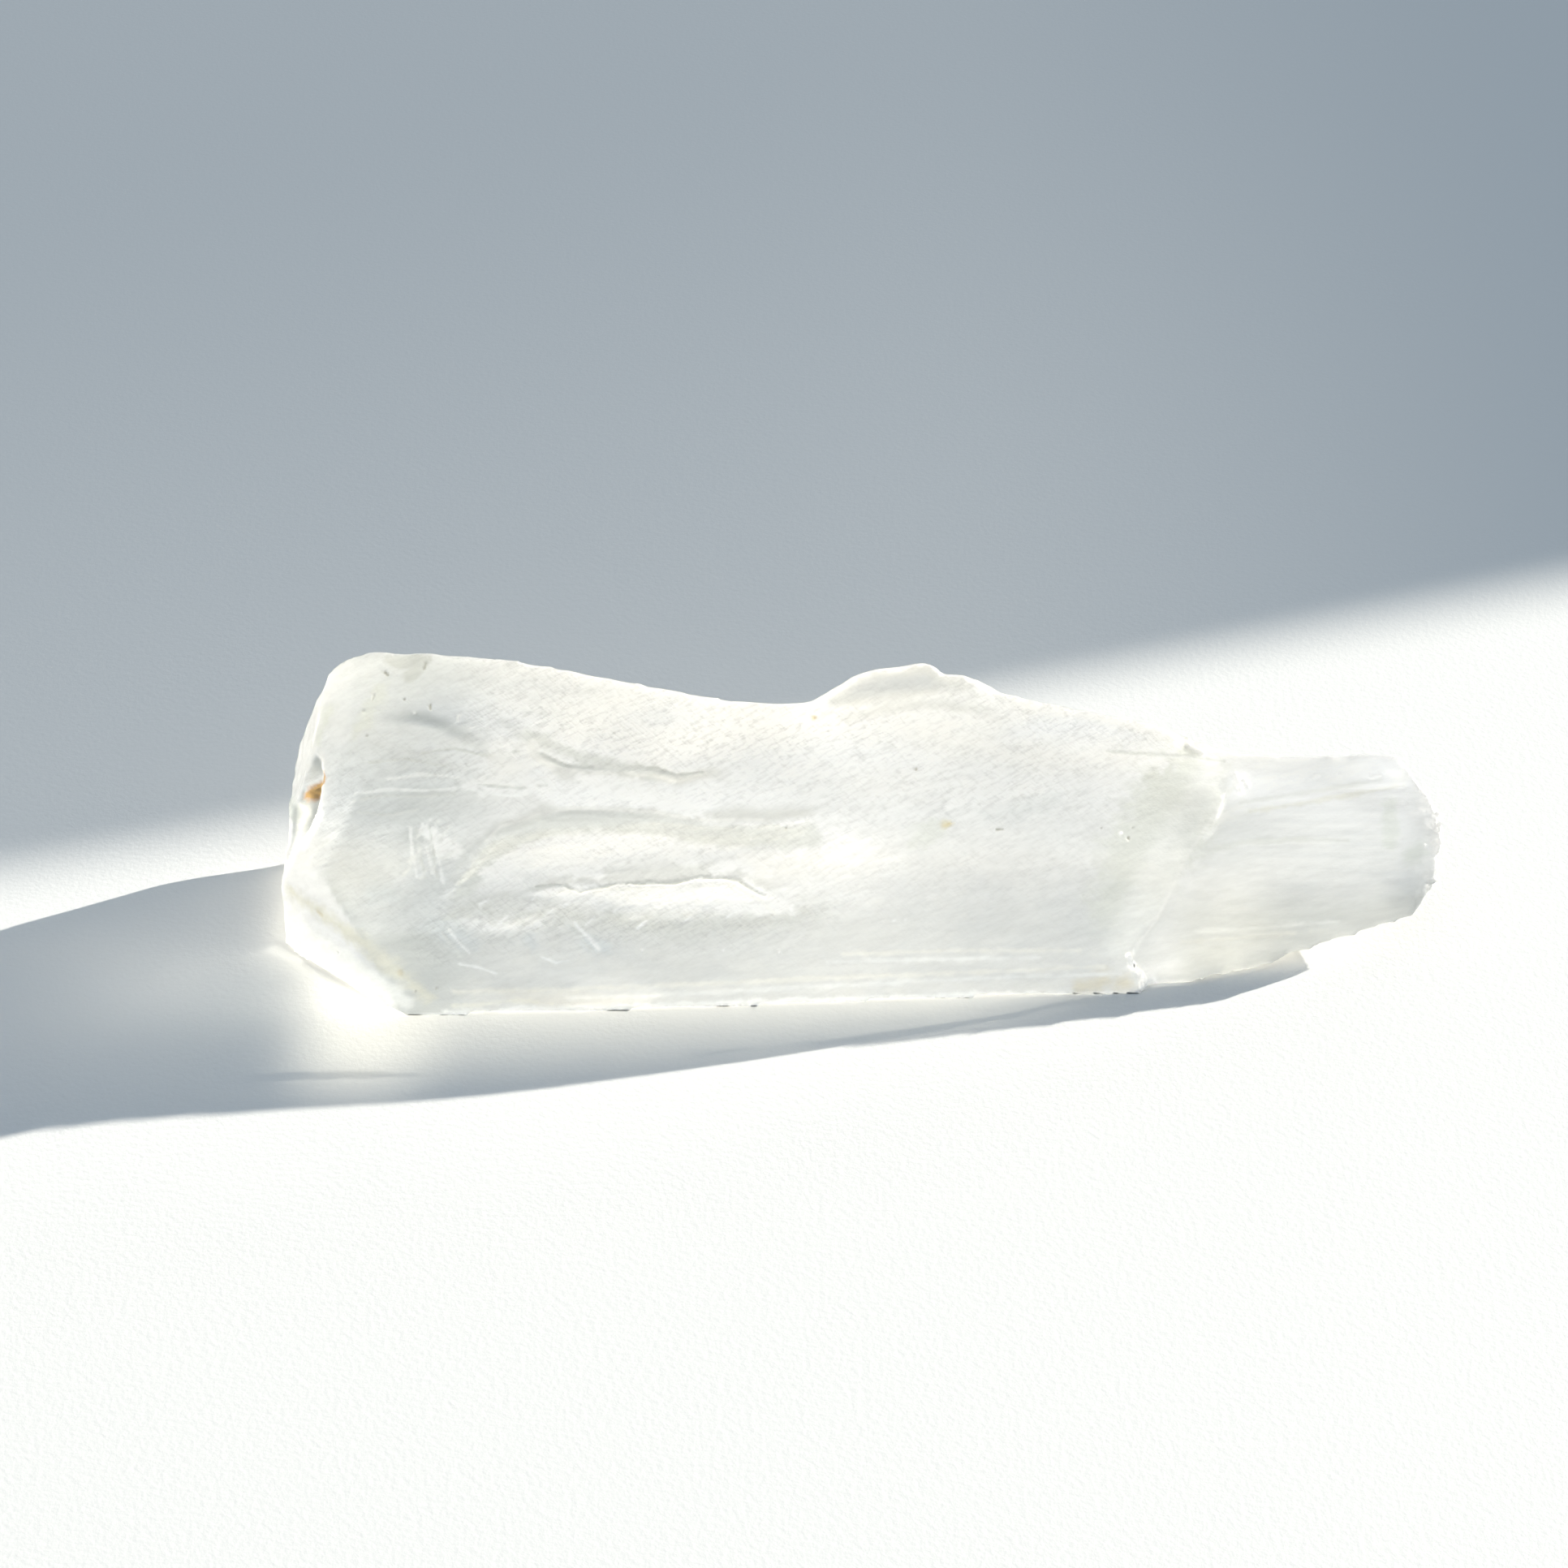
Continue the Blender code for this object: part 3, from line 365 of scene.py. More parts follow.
    ("wisp bright", ((1.9, -5.9, 5.1, 0.08), (2.2, -5.8, 5.4, 0.07))),
    ("wisp bright", ((2.7, -5.8, 5.2, 0.08), (3, -5.6, 5.6, 0.07))),
    ("wisp bright", ((3.3, -5.7, 5.4, 0.08), (3.6, -5.6, 5.7, 0.07))),
    ("wisp bright", ((3.8, -5.7, 5.5, 0.08), (4.1, -5.6, 5.7, 0.07))),
    ("wisp bright", ((4.7, -5.6, 5.6, 0.08), (5.1, -5.4, 5.9, 0.07))),
    ("wisp bright", ((5.4, -5.5, 5.6, 0.08), (5.6, -5.3, 5.9, 0.07))),
    ("wisp bright", ((6, -5.4, 5.7, 0.08), (6.4, -5.3, 5.9, 0.07))),
    ("wisp bright", ((6.7, -5.4, 5.6, 0.08), (7, -5.2, 5.9, 0.07))),
    ("wisp bright", ((7.4, -5.3, 5.7, 0.08), (7.7, -5.2, 5.9, 0.07))),
    ("wisp bright", ((8.2, -5.2, 5.9, 0.08), (8.5, -4.9, 6.2, 0.07))),
    ("wisp bright", ((8.7, -5.1, 6, 0.08), (9, -4.8, 6.2, 0.07))),
    ("wisp bright", ((9.4, -5.1, 5.9, 0.08), (9.7, -4.8, 6.2, 0.07))),
    ("streak bright", ((-31.4, -4.3, 7.9, 0.12), (-30.9, -3.8, 8.4, 0.08))),
    ("streak bright", ((-31, -3.6, 8.5, 0.12), (-30.3, -3, 9.1, 0.08))),
    ("streak bright", ((-30.3, -4.6, 7.9, 0.12), (-29.8, -4.1, 8.3, 0.08))),
    ("streak bright", ((-30, -3.2, 9, 0.12), (-29.3, -2.5, 9.7, 0.08))),
    ("streak bright", ((-29.4, -4.1, 8.3, 0.12), (-28.9, -3.6, 8.8, 0.08))),
    ("streak bright", ((-29, -2.7, 9.6, 0.12), (-28.4, -2, 10.2, 0.08))),
    ("streak bright", ((-28.6, -3.6, 8.8, 0.12), (-28.1, -3.2, 9.1, 0.08))),
    ("streak bright", ((-29.6, -2.2, 10.1, 0.12), (-29.1, -1.7, 10.5, 0.08))),
    ("streak bright", ((-30.6, -2.5, 9.6, 0.12), (-30.2, -2.2, 10, 0.08))),
    ("streak bright", ((-28.2, -2.8, 9.4, 0.12), (-27.8, -2.4, 9.8, 0.08))),
    ("wisp bright", ((-22.7, -5.5, 6.7, 0.09), (-22.1, -5, 7, 0.06))),
    ("wisp bright", ((-21.8, -6.4, 5.9, 0.09), (-21.3, -6, 6.2, 0.06))),
    ("wisp bright", ((-20.5, -5.8, 6.4, 0.09), (-19.8, -5.4, 6.8, 0.06))),
    ("wisp bright", ((-19, -6.7, 5.5, 0.09), (-18.4, -6.3, 5.9, 0.06))),
    ("wisp bright", ((-17.1, -6, 6.1, 0.09), (-16.4, -5.6, 6.4, 0.06))),
    ("wisp bright", ((-15.5, -6.8, 5.3, 0.09), (-14.9, -6.5, 5.7, 0.06))),
    ("wisp bright", ((-14, -5.9, 6.2, 0.09), (-13.4, -5.4, 6.4, 0.06))),
    ("wisp bright", ((-12.4, -6.6, 5.6, 0.09), (-11.9, -6.2, 5.8, 0.06))),
    ("wisp bright", ((-11, -5.6, 6.2, 0.09), (-10.4, -5.2, 6.5, 0.06))),
    ("wisp bright", ((-9.4, -6.1, 5.7, 0.09), (-8.8, -5.7, 6, 0.06))),
    ("wisp bright", ((-7.8, -5.3, 6.3, 0.09), (-7.3, -4.9, 6.5, 0.06))),
    ("wisp bright", ((-26.2, -5.8, 6.5, 0.09), (-25.6, -5.5, 6.8, 0.06))),
    ("wisp bright", ((-24.9, -6.6, 5.5, 0.09), (-24.3, -6.2, 5.9, 0.06))),
    # Painted shade low on the tip.
    ("tip painted shade", ((23.6, -5.6, 2, 1.2), (27.5, -4.4, 2.6, 1.2))),
)

# Where the stone broke with a rough, sparkling grain, as lines of balls.
HACKLY_PATCHES = (
    ("upper slope", ((-25.9, 4, 15.4, 1.68), (-20.4, 4.1, 14.7, 2.51), (-14.8, 3.6, 13.6, 2.51),
                     (-9.2, 4.2, 13.3, 2.23), (-3.6, 4.9, 13.4, 2.23), (1.9, 4.3, 13.8, 2.23))),
    ("upper tread", ((-20.3, 1.3, 12.2, 0.56), (-17, 0.8, 11.5, 1.23), (-13.1, 0.4, 10.8, 1.01),
                     (-10.3, -0.5, 9.8, 0.45))),
    ("left wisps", ((-33.6, 2.1, 14, 1.68), (-30.3, 1.6, 13.8, 2.23), (-26.9, 0.8, 13, 1.96),
                    (-24.7, 0.1, 12.1, 1.4))),
    ("hatch", ((-28.8, -2.6, 9.6, 1.68),)),
    ("lower band", ((-29, -6.9, 5.6, 1.68), (-23.5, -6.5, 5.7, 1.68), (-18, -6.7, 5.5, 1.45),
                    (-11.9, -6.6, 5.4, 1.34), (-6.4, -6, 5.6, 1.12), (-2.6, -5.5, 6.1, 0.67))),
    ("lower tread", ((-16.9, -5.1, 6.7, 0.78), (-12, -5.3, 6.4, 1.12), (-6.4, -5.5, 6.1, 0.78))),
    ("main tread", ((-25.7, -4.3, 8.1, 0.56), (-23, -3.8, 8.4, 1.23), (-19.1, -3.6, 8.3, 1.12),
                    (-14.7, -3.1, 8.6, 1.01), (-9.2, -3.3, 8, 1.01))),
    ("wave", ((5.8, -0.3, 11, 1.12), (9.1, 0.6, 11.7, 1.23), (13, 1.4, 11.5, 1.01))),
    ("right crest", ((6.4, 5.8, 15.5, 1.12), (12, 4.9, 14.1, 1.4), (18.8, 4.8, 12.8, 1.12))),
)

# The broken edges that stay crisp, as lines of balls.
CRISP_EDGES = (
    ("main ledge", ((-28.1, -4.9, 7.3, 0.78), (-26.2, -2.9, 8.7, 0.78), (-24.8, -1.6, 9.6, 0.78),
                    (-22.5, -1.1, 10.2, 0.78), (-19.9, -0.7, 10.5, 0.78), (-15, -0.5, 10, 0.78),
                    (-10.5, -0.7, 9.4, 0.78), (-4.5, -0.5, 9.8, 0.67))),
    ("lower crack", ((-26.9, -5, 7.4, 0.56), (-20.6, -4.6, 7.1, 0.56), (-16.4, -4.1, 7.1, 0.56),
                     (-12.7, -3.8, 7, 0.56), (-8.9, -3.7, 7.1, 0.56), (-7.3, -4.5, 6.7, 0.56),
                     (-5.6, -5.5, 6.1, 0.45))),
    ("upper ledge", ((-23.3, 3, 14.3, 0.56), (-21.8, 1.9, 13.4, 0.56), (-19.2, 1.4, 12.8, 0.56),
                     (-15.8, 1.7, 12.5, 0.56), (-12.9, 1.5, 12.1, 0.56), (-11.1, 1.8, 11.6, 0.45))),
    ("shoulder", ((25.8, 5, 10.6, 0.78), (25.5, 3.5, 10, 0.78), (24.1, 1.6, 9, 0.78),
                  (22.7, -0, 7.9, 0.78), (21.7, -1.2, 6.9, 0.78), (20.6, -3, 5.4, 0.78),
                  (19.6, -4.4, 4, 0.78), (18.4, -5.5, 2.8, 0.78), (18.1, -6, 2.2, 0.67),
                  (18.8, -6, 1, 0.67), (19.1, -6.7, 0.3, 0.56))),
    ("end seam", ((-39.7, -2.2, 4.5, 0.67), (-35.1, -6.6, 5.1, 0.67), (-31.8, -8.5, 2.9, 0.67),
                  (-30.4, -9, 1.5, 0.56), (-29.3, -9.4, 0.6, 0.45))),
)


def smoothstep(low, high, value):
    t = np.clip((value - low) / (high - low), 0.0, 1.0)
    return t * t * (3 - 2 * t)


def noise_at(points, size, seed=0.0, octaves=1):
    """Noise, about -1 to 1, at an array of points, with features of size (x, y, z)."""
    scaled = points / np.array(size) + seed
    if octaves == 1:
        values = [noise.noise(point) for point in scaled]
    else:
        values = [noise.fractal(point, 0.85, 2.1, octaves) for point in scaled]
    return np.array(values)


def slanted(points, lean):
    """The points as seen face on from the front and above, turned so that x leans up to the right."""
    x, y, z = points.T
    up = y * math.sin(SLANT) + z * math.cos(SLANT)
    away = y * math.cos(SLANT) - z * math.sin(SLANT)
    turn = math.radians(lean)
    along = x * math.cos(turn) + up * math.sin(turn)
    across = up * math.cos(turn) - x * math.sin(turn)
    return np.column_stack((along, across, away))


def within(points, balls, edge, ragged=0.0, wander=None):
    """A mask of the points that a line of balls (x, y, z, radius) covers, with a soft, ragged edge."""
    balls = np.array(balls)
    margin = balls[:, 3].max() + edge + 2.5 * ragged
    low, high = balls[:, :3].min(0) - margin, balls[:, :3].max(0) + margin
    near = np.flatnonzero(np.all((points > low) & (points < high), 1))
    mask = np.zeros(len(points))
    if not len(near):
        return mask
    place = points[near]
    outside = np.full(len(near), np.inf)
    for start, end in zip(balls, balls[1:] if len(balls) > 1 else balls):
        line = end[:3] - start[:3]
        along = np.clip((place - start[:3]) @ line / max(line @ line, 1e-9), 0.0, 1.0)
        away = np.linalg.norm(place - start[:3] - along[:, None] * line, axis=1)
        outside = np.minimum(outside, away - start[3] - along * (end[3] - start[3]))
    if ragged:
        outside = outside + ragged * wander[near]
    mask[near] = smoothstep(edge, -edge, outside)
    return mask


def rounded(points):
    """Where the broken slope rolls softly over into the front: the right half and the tip."""
    x, y, z = points.T
    foot = np.interp(x, (-8.0, 22.0, 38.0), (0.0, 0.6, 4.2))
    mask = smoothstep(-8.0, 0.0, x) * smoothstep(37.0, 34.0, x) * smoothstep(5.0, 2.5, y)
    return mask * smoothstep(0.5, 1.5, z - foot) * (1.0 - crisp(points))


def crisp(points):
    """Where the ledges and the shoulder keep their crisp edges."""
    mask = smoothstep(36.0, 38.0, points[:, 0])
    for _, balls in CRISP_EDGES:
        mask = np.maximum(mask, within(points, balls, 0.5))
    return mask


def softened(points):
    """Where the voxels' small steps are evened out: all but the crisp edges and the resting face."""
    return (1.0 - crisp(points)) * smoothstep(0.2, 0.8, points[:, 2])


def even_out(mesh, rounds, choose):
    """Evens out the mesh's vertices with their neighbours, by the share that choose gives each."""
    points = numbers_of(mesh.vertices, "co") / MM
    edges = np.zeros(len(mesh.edges) * 2, dtype=np.int32)
    mesh.edges.foreach_get("vertices", edges)
    start, end = edges.reshape(-1, 2).T
    count = np.bincount(edges, minlength=len(points))
    share = 0.5 * choose(points)[:, None]
    for _ in range(rounds):
        total = np.empty_like(points)
        for axis in range(3):
            values = points[:, axis]
            total[:, axis] = np.bincount(start, values[end], len(points))
            total[:, axis] += np.bincount(end, values[start], len(points))
        points = points + share * (total / count[:, None] - points)
    place_points(mesh, points)
    mesh.update()


def relief(points, normals, grain):
    """How far the surface stands proud, in millimetres, at each point of the smooth stone."""
    x, y, z = points.T
    facing_front = smoothstep(0.55, 0.9, -normals[:, 1])
    facing_back = smoothstep(0.3, 0.8, normals[:, 1])
    on_tip = smoothstep(19.0, 25.0, x)
    on_slope = np.clip(1.0 - facing_front - facing_back, 0.0, 1.0) * (1.0 - on_tip)
    broken_end = smoothstep(12.0, -8.0, x)

    growth_lines = noise_at(points, (9.0, 0.55, 0.55), 3.1, 3)
    flakes = noise_at(slanted(points, 12.0), (2.6, 0.9, 1.2), 7.7, 3)
    strokes = noise_at(slanted(points, 26.0), (1.9, 0.6, 0.9), 12.3)
    jags = 1.0 - 2.0 * np.abs(noise_at(points, (1.2, 1.3, 1.1), 21.9, 3))

    height = 0.025 * growth_lines * (0.4 + facing_front + on_tip)
    height += 0.07 * flakes * on_slope * (0.3 + 0.7 * broken_end)
    height += 0.05 * strokes * (0.3 * on_slope + 0.7 * grain)
    height += 0.04 * flakes * facing_back
    height -= 0.25 * np.clip(jags, 0.0, 1.0) * smoothstep(37.2, 39.8, x)
    return height


def paint_marks(points, normals):
    """The tint at each point, and how far the marks there are sunk. The tint holds painted shade on the
    front faces, the end facet, the blunt end and the low part of the tip, a little painted light on
    the tip, and the painted light and shade of some marks.
    """
    wander = noise_at(points, (0.9, 0.6, 0.6), 31.7, 3)
    facing_front = smoothstep(0.45, 0.95, -normals[:, 1])[:, None]
    x, _, z = points.T[:, :, None]
    end_facet = smoothstep(-0.45, -0.75, normals[:, :1])
    blunt_end = smoothstep(-24.0, -31.0, x) * (1.0 - end_facet)
    tip = smoothstep(20.0, 23.0, x)
    front_painted_shade = facing_front * (1.0 - end_facet) * (1.0 - 0.7 * tip)
    # Painted shade: front-facing surfaces and the end facet are darkened for the shade that falls on
    # them.
    tint = np.array((0.965, 0.97, 0.985)) - front_painted_shade * np.array((0.285, 0.285, 0.325)) - 0.10 * end_facet
    # Painted shade at the blunt end, and a little painted light on the tip.
    tint = tint - blunt_end * np.array((0.19, 0.17, 0.165)) + tip * np.array((0.03, 0.03, 0.035))
    # Painted shade on the low part of the tip.
    tint = tint - tip * smoothstep(6.0, 3.0, z) * np.array((0.34, 0.33, 0.36))
    sunk = np.zeros(len(points))
    for kind, balls in MARKS:
        colour, edge, ragged, depth = MARK_KINDS[kind]
        mask = within(points, balls, edge, ragged, wander)
        tint += mask[:, None] * (np.array(colour) - tint)
        sunk += mask * depth
    return tint, sunk


def paint_grain(points, normals):
    """How strongly the surface sparkles with a fine hackly grain."""
    x, _, z = points.T
    wander = noise_at(points, (2.0, 1.2, 1.2), 47.2, 2)
    slope = smoothstep(0.92, 0.5, -normals[:, 1])
    grain = (0.12 + (0.36 + 0.2 * wander) * slope) * (0.2 + 0.8 * smoothstep(24.0, 12.0, x))
    for _, balls in HACKLY_PATCHES:
        grain = np.maximum(grain, 0.72 * within(points, balls, 2.6, 1.0, wander))
    for kind, balls in MARKS:
        if kind == "tread painted light":
            grain *= 1.0 - 0.4 * within(points, balls, 0.6)
    grain *= 1.0 - 0.6 * smoothstep(-26.0, -30.0, x) * smoothstep(12.0, 15.0, z)
    return np.clip(grain, 0.0, 1.0) * smoothstep(-0.75, -0.45, normals[:, 0])


def numbers_of(vertices, name):
    values = np.zeros(len(vertices) * 3)
    vertices.foreach_get(name, values)
    return values.reshape(-1, 3)


def refine(mesh, choose):
    """Halves the spacing of the mesh where choose, given an array of points, says so."""
    shape = bmesh.new()
    shape.from_mesh(mesh)
    shape.faces.ensure_lookup_table()
    centres = np.array([face.calc_center_median() for face in shape.faces]) / MM
    edges = {edge for index in np.flatnonzero(choose(centres)) for edge in shape.faces[index].edges}
    bmesh.ops.subdivide_edges(shape, edges=list(edges), cuts=1, use_grid_fill=True)
    shape.to_mesh(mesh)
    shape.free()


def rich(points):
    """Where the surface shows the most detail: the slope, the front and the tip, not the back."""
    x, y, z = points.T
    return (z > 0.25) & (y < 8.6 + 0.05 * x)


def thinly_marked(points):
    """Where a thin mark needs the finest mesh to hold its shape."""
    mask = np.zeros(len(points))
    for _, balls in MARKS:
        if max(ball[3] for ball in balls) < THIN_MARK:
            mask = np.maximum(mask, within(points, balls, 0.2))
    return mask > 0.1


def place_points(mesh, points):
    mesh.vertices.foreach_set("co", (points * MM).ravel())


def fine_copy(packed):
    """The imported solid's shape as a fine, even mesh."""
    rough = bpy.data.objects.new("rough_stone", packed.data.copy())
    bpy.context.scene.collection.objects.link(rough)
    remesh = rough.modifiers.new("fine_mesh", "REMESH")
    remesh.mode = "VOXEL"
    remesh.voxel_size = MESH_STEP * MM
    fine = bpy.data.meshes.new_from_object(rough.evaluated_get(bpy.context.evaluated_depsgraph_get()))
    bpy.data.objects.remove(rough)
    fine.name = STONE_PIECE
    return fine


def return_to_solid(mesh, packed):
    """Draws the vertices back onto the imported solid, except where the slope is rounded over."""
    solid = BVHTree.FromPolygons([vertex.co / MM for vertex in packed.data.vertices],
                                 [face.vertices for face in packed.data.polygons])
    points = numbers_of(mesh.vertices, "co") / MM
    nearest = np.array([solid.find_nearest(point)[0] for point in points])
    points += (1.0 - rounded(points))[:, None] * (nearest - points)
    place_points(mesh, points)


def carve_and_paint(mesh):
    """Moves the surface by its relief and its marks, and stores its tint and its grain."""
    points = numbers_of(mesh.vertices, "co") / MM
    normals = numbers_of(mesh.vertices, "normal")
    tint, sunk = paint_marks(points, normals)
    grain = paint_grain(points, normals)
    proud = (relief(points, normals, grain) - sunk) * smoothstep(0.0, RESTING_SKIN, points[:, 2])
    low, high = (np.array(corner) / MM for corner in cad_box)
    place_points(mesh, np.clip(points + normals * proud[:, None], low, high))
    mesh.update()
    mesh.shade_smooth()
    colours = mesh.color_attributes.new("tint", "FLOAT_COLOR", "POINT")
    colours.data.foreach_set("color", np.column_stack((tint, np.ones(len(points)))).ravel())
    grains = mesh.attributes.new("grain", "FLOAT", "POINT")
    grains.data.foreach_set("value", grain)


def carve_stone():
    """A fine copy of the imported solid, with its relief, its marks and its material."""
    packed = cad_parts[STONE_NODE]
    fine = fine_copy(packed)
    even_out(fine, ROUNDING, rounded)
    refine(fine, rich)
    refine(fine, thinly_marked)
    return_to_solid(fine, packed)
    even_out(fine, SOFTENING, softened)
    carve_and_paint(fine)

    fine.materials.clear()
    fine.materials.append(clear_quartz())
    stone = bpy.data.objects.new(STONE_PIECE, fine)
    bpy.context.scene.collection.objects.link(stone)
    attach(stone, "root")
    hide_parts(STONE_NODE)


# ---- materials ----------------------------------------------------------------------------------

class Nodes:
    """A material's node tree, with short ways to add the nodes that these materials use."""

    def __init__(self, material):
        material.use_nodes = True
        self.tree = material.node_tree
        self.shader = self.tree.nodes["Principled BSDF"]
        self.output = self.tree.nodes["Material Output"]

    def add(self, kind, inputs=None, **settings):
        node = self.tree.nodes.new(kind)
        for name, value in settings.items():
            setattr(node, name, value)
        for name, value in (inputs or {}).items():
            if isinstance(value, bpy.types.NodeSocket):
                self.tree.links.new(value, node.inputs[name])
            else:
                node.inputs[name].default_value = value
        return node

    def math(self, operation, a, b=0.0, c=0.0):
        return self.add("ShaderNodeMath", {0: a, 1: b, 2: c}, operation=operation).outputs[0]

    def ramp(self, value, low, high, to_low=0.0, to_high=1.0):
        """value from low to high, smoothly turned into to_low to to_high."""
        ends = {"Value": value, "From Min": low, "From Max": high, "To Min": to_low, "To Max": to_high}
        return self.add("ShaderNodeMapRange", ends, interpolation_type="SMOOTHSTEP").outputs["Result"]

    def millimetres(self):
        place = self.add("ShaderNodeTexCoord").outputs["Object"]
        return self.add("ShaderNodeVectorMath", {0: place, 3: 1 / MM}, operation="SCALE").outputs[0]

    def leaning(self, place, lean):
        """place as seen face on from the front and above, turned so that x leans up to the right."""
        tilt = {"Vector": place, "Angle": SLANT - math.pi / 2}
        facing = self.add("ShaderNodeVectorRotate", tilt, rotation_type="X_AXIS").outputs[0]
        turn = {"Vector": facing, "Angle": math.radians(-lean)}
        return self.add("ShaderNodeVectorRotate", turn, rotation_type="Z_AXIS").outputs[0]

    def noise(self, place, size, detail=4.0, roughness=0.6):
        """Noise, 0 to 1, with features of size (x, y, z)."""
        scale = tuple(1 / side for side in size)
        scaled = self.add("ShaderNodeVectorMath", {0: place, 1: scale}, operation="MULTIPLY").outputs[0]
        inputs = {"Vector": scaled, "Scale": 1.0, "Detail": detail, "Roughness": roughness}
        return self.add("ShaderNodeTexNoise", inputs).outputs["Fac"]

    def landing(self, place):
        """Where sunlight through place lands on the floor, as x and y."""
        group = self.add("ShaderNodeGroup", node_tree=landing_group())
        self.tree.links.new(place, group.inputs["Place"])
        return group.outputs["X"], group.outputs["Y"]


def landing_group():
    """A group that follows the sunlight through a place down to the floor, and gives where it lands."""
    name = "sunlight_landing"
    if name in bpy.data.node_groups:
        return bpy.data.node_groups[name]
    group = bpy.data.node_groups.new(name, "ShaderNodeTree")
    group.interface.new_socket("Place", in_out="INPUT", socket_type="NodeSocketVector")
    group.interface.new_socket("X", in_out="OUTPUT", socket_type="NodeSocketFloat")
    group.interface.new_socket("Y", in_out="OUTPUT", socket_type="NodeSocketFloat")
    given = group.nodes.new("NodeGroupInput")
    axes = group.nodes.new("ShaderNodeSeparateXYZ")
    group.links.new(given.outputs["Place"], axes.inputs["Vector"])
    result = group.nodes.new("NodeGroupOutput")
    for axis in ("X", "Y"):
        step = group.nodes.new("ShaderNodeMath")
        step.operation = "MULTIPLY_ADD"
        step.inputs[1].default_value = -getattr(SUN_FROM, axis.lower()) / SUN_FROM.z
        group.links.new(axes.outputs["Z"], step.inputs[0])
        group.links.new(axes.outputs[axis], step.inputs[2])
        group.links.new(step.outputs[0], result.inputs[axis])
    return group


def rgba(red, green, blue):
    return (red, green, blue, 1.0)


def quartz_colour(nodes, place, grain, strokes, hatch):
    """Water-white with faint clouds, fine grey and white strokes, and the painted tint, which holds the
    marks and painted light and shade.
    """
    tint = nodes.add("ShaderNodeAttribute", attribute_name="tint").outputs["Color"]
    streaky = nodes.noise(nodes.leaning(place, 12.0), (2.6, 0.6, 1.0), 5.0, 0.68)
    clouds = nodes.ramp(streaky, 0.34, 0.66, 1.02, 0.90)
    dark_strokes = nodes.ramp(strokes, 0.32, 0.58, 0.30, -0.10)
    dark_hatch = nodes.ramp(hatch, 0.32, 0.50, 0.20, -0.03)
    darkening = nodes.math("MULTIPLY", nodes.math("ADD", dark_strokes, dark_hatch), grain)
    shade = nodes.math("SUBTRACT", clouds, darkening)
    colour = nodes.add("ShaderNodeVectorMath", {0: tint, 1: shade}, operation="MULTIPLY").outputs[0]
    return nodes.add("ShaderNodeVectorMath", {0: colour, 1: PALEST}, operation="MINIMUM").outputs[0]


def quartz_roughness(nodes, place, grain, lengthwise):
    """Satin in patches, a little glossier where the grain sparkles, and more matt at the tip."""
    patches = nodes.noise(place, (3.2, 1.2, 1.2), 4.0, 0.6)
    satin = nodes.ramp(patches, 0.35, 0.68, 0.38, 0.45)
    roughness = nodes.math("MULTIPLY_ADD", grain, -0.06, satin)
    return nodes.math("ADD", roughness, nodes.ramp(lengthwise, 16.0, 26.0, 0.0, 0.16))


def quartz_fine_relief(nodes, place, grain, strokes, hatch):
    """Growth lines along the crystal, satin grain, and hackly strokes that sparkle."""
    growth_lines = nodes.noise(place, (8.0, 0.3, 0.3), 3.0, 0.6)
    satin_grain = nodes.noise(place, (0.35, 0.3, 0.3), 2.0, 0.6)
    hackly = nodes.math("ADD", nodes.math("MULTIPLY_ADD", hatch, 0.6, strokes), -0.8)
    hackly = nodes.math("MULTIPLY", hackly, grain)
    height = nodes.math("MULTIPLY", growth_lines, 0.015)
    height = nodes.math("MULTIPLY_ADD", satin_grain, 0.012, height)
    height = nodes.math("MULTIPLY_ADD", hackly, 0.13, height)
    bump = nodes.add("ShaderNodeBump", {"Height": height, "Strength": 1.0, "Distance": 1.0 * MM})
    return bump.outputs["Normal"]


def sunlight_out(nodes, x, y):
    """How much of the sunlight that lands at x and y on the floor has got out of the stone.

    It gathers into a soft glow low at the blunt end and a fainter strip along the shadow, and it
    lights the floor under the stone.
    """
    slanting = nodes.math("MULTIPLY_ADD", x, -0.12, y)
    strip = nodes.math("MULTIPLY", nodes.ramp(x, -44.0, -32.0), nodes.ramp(x, 4.0, 18.0, 1.0, 0.0))
    strip = nodes.math("MULTIPLY", strip, nodes.ramp(slanting, -15.5, -8.0, 0.0, STRIP_STRENGTH))
    across = nodes.math("DIVIDE", nodes.math("ADD", x, -GLOW_PLACE[0]), GLOW_REACH[0])
    along = nodes.math("DIVIDE", nodes.math("ADD", y, -GLOW_PLACE[1]), GLOW_REACH[1])
    along_squared = nodes.math("MULTIPLY", along, along)
    away = nodes.math("SQRT", nodes.math("MULTIPLY_ADD", across, across, along_squared))
    glow = nodes.ramp(away, 0.0, 1.0, GLOW_STRENGTH, 0.0)
    under = nodes.math("MULTIPLY", nodes.ramp(y, -7.0, -2.0), nodes.ramp(x, -40.0, -12.0, 0.78, 1.0))
    under = nodes.math("MULTIPLY", under, nodes.ramp(x, 14.0, 24.0, 1.0, 0.6))
    return nodes.math("MINIMUM", nodes.math("MAXIMUM", nodes.math("ADD", strip, glow), under), 1.0)


def sunlight_in(nodes, x, y):
    """How much sunlight gets into the stone, less where it would light the far left of the shadow."""
    shaded = nodes.math("MULTIPLY", nodes.ramp(x, -44.0, -36.0, 0.80, 0.0), nodes.ramp(y, -18.0, -13.0))
    return nodes.math("SUBTRACT", SUNLIGHT_IN, shaded)


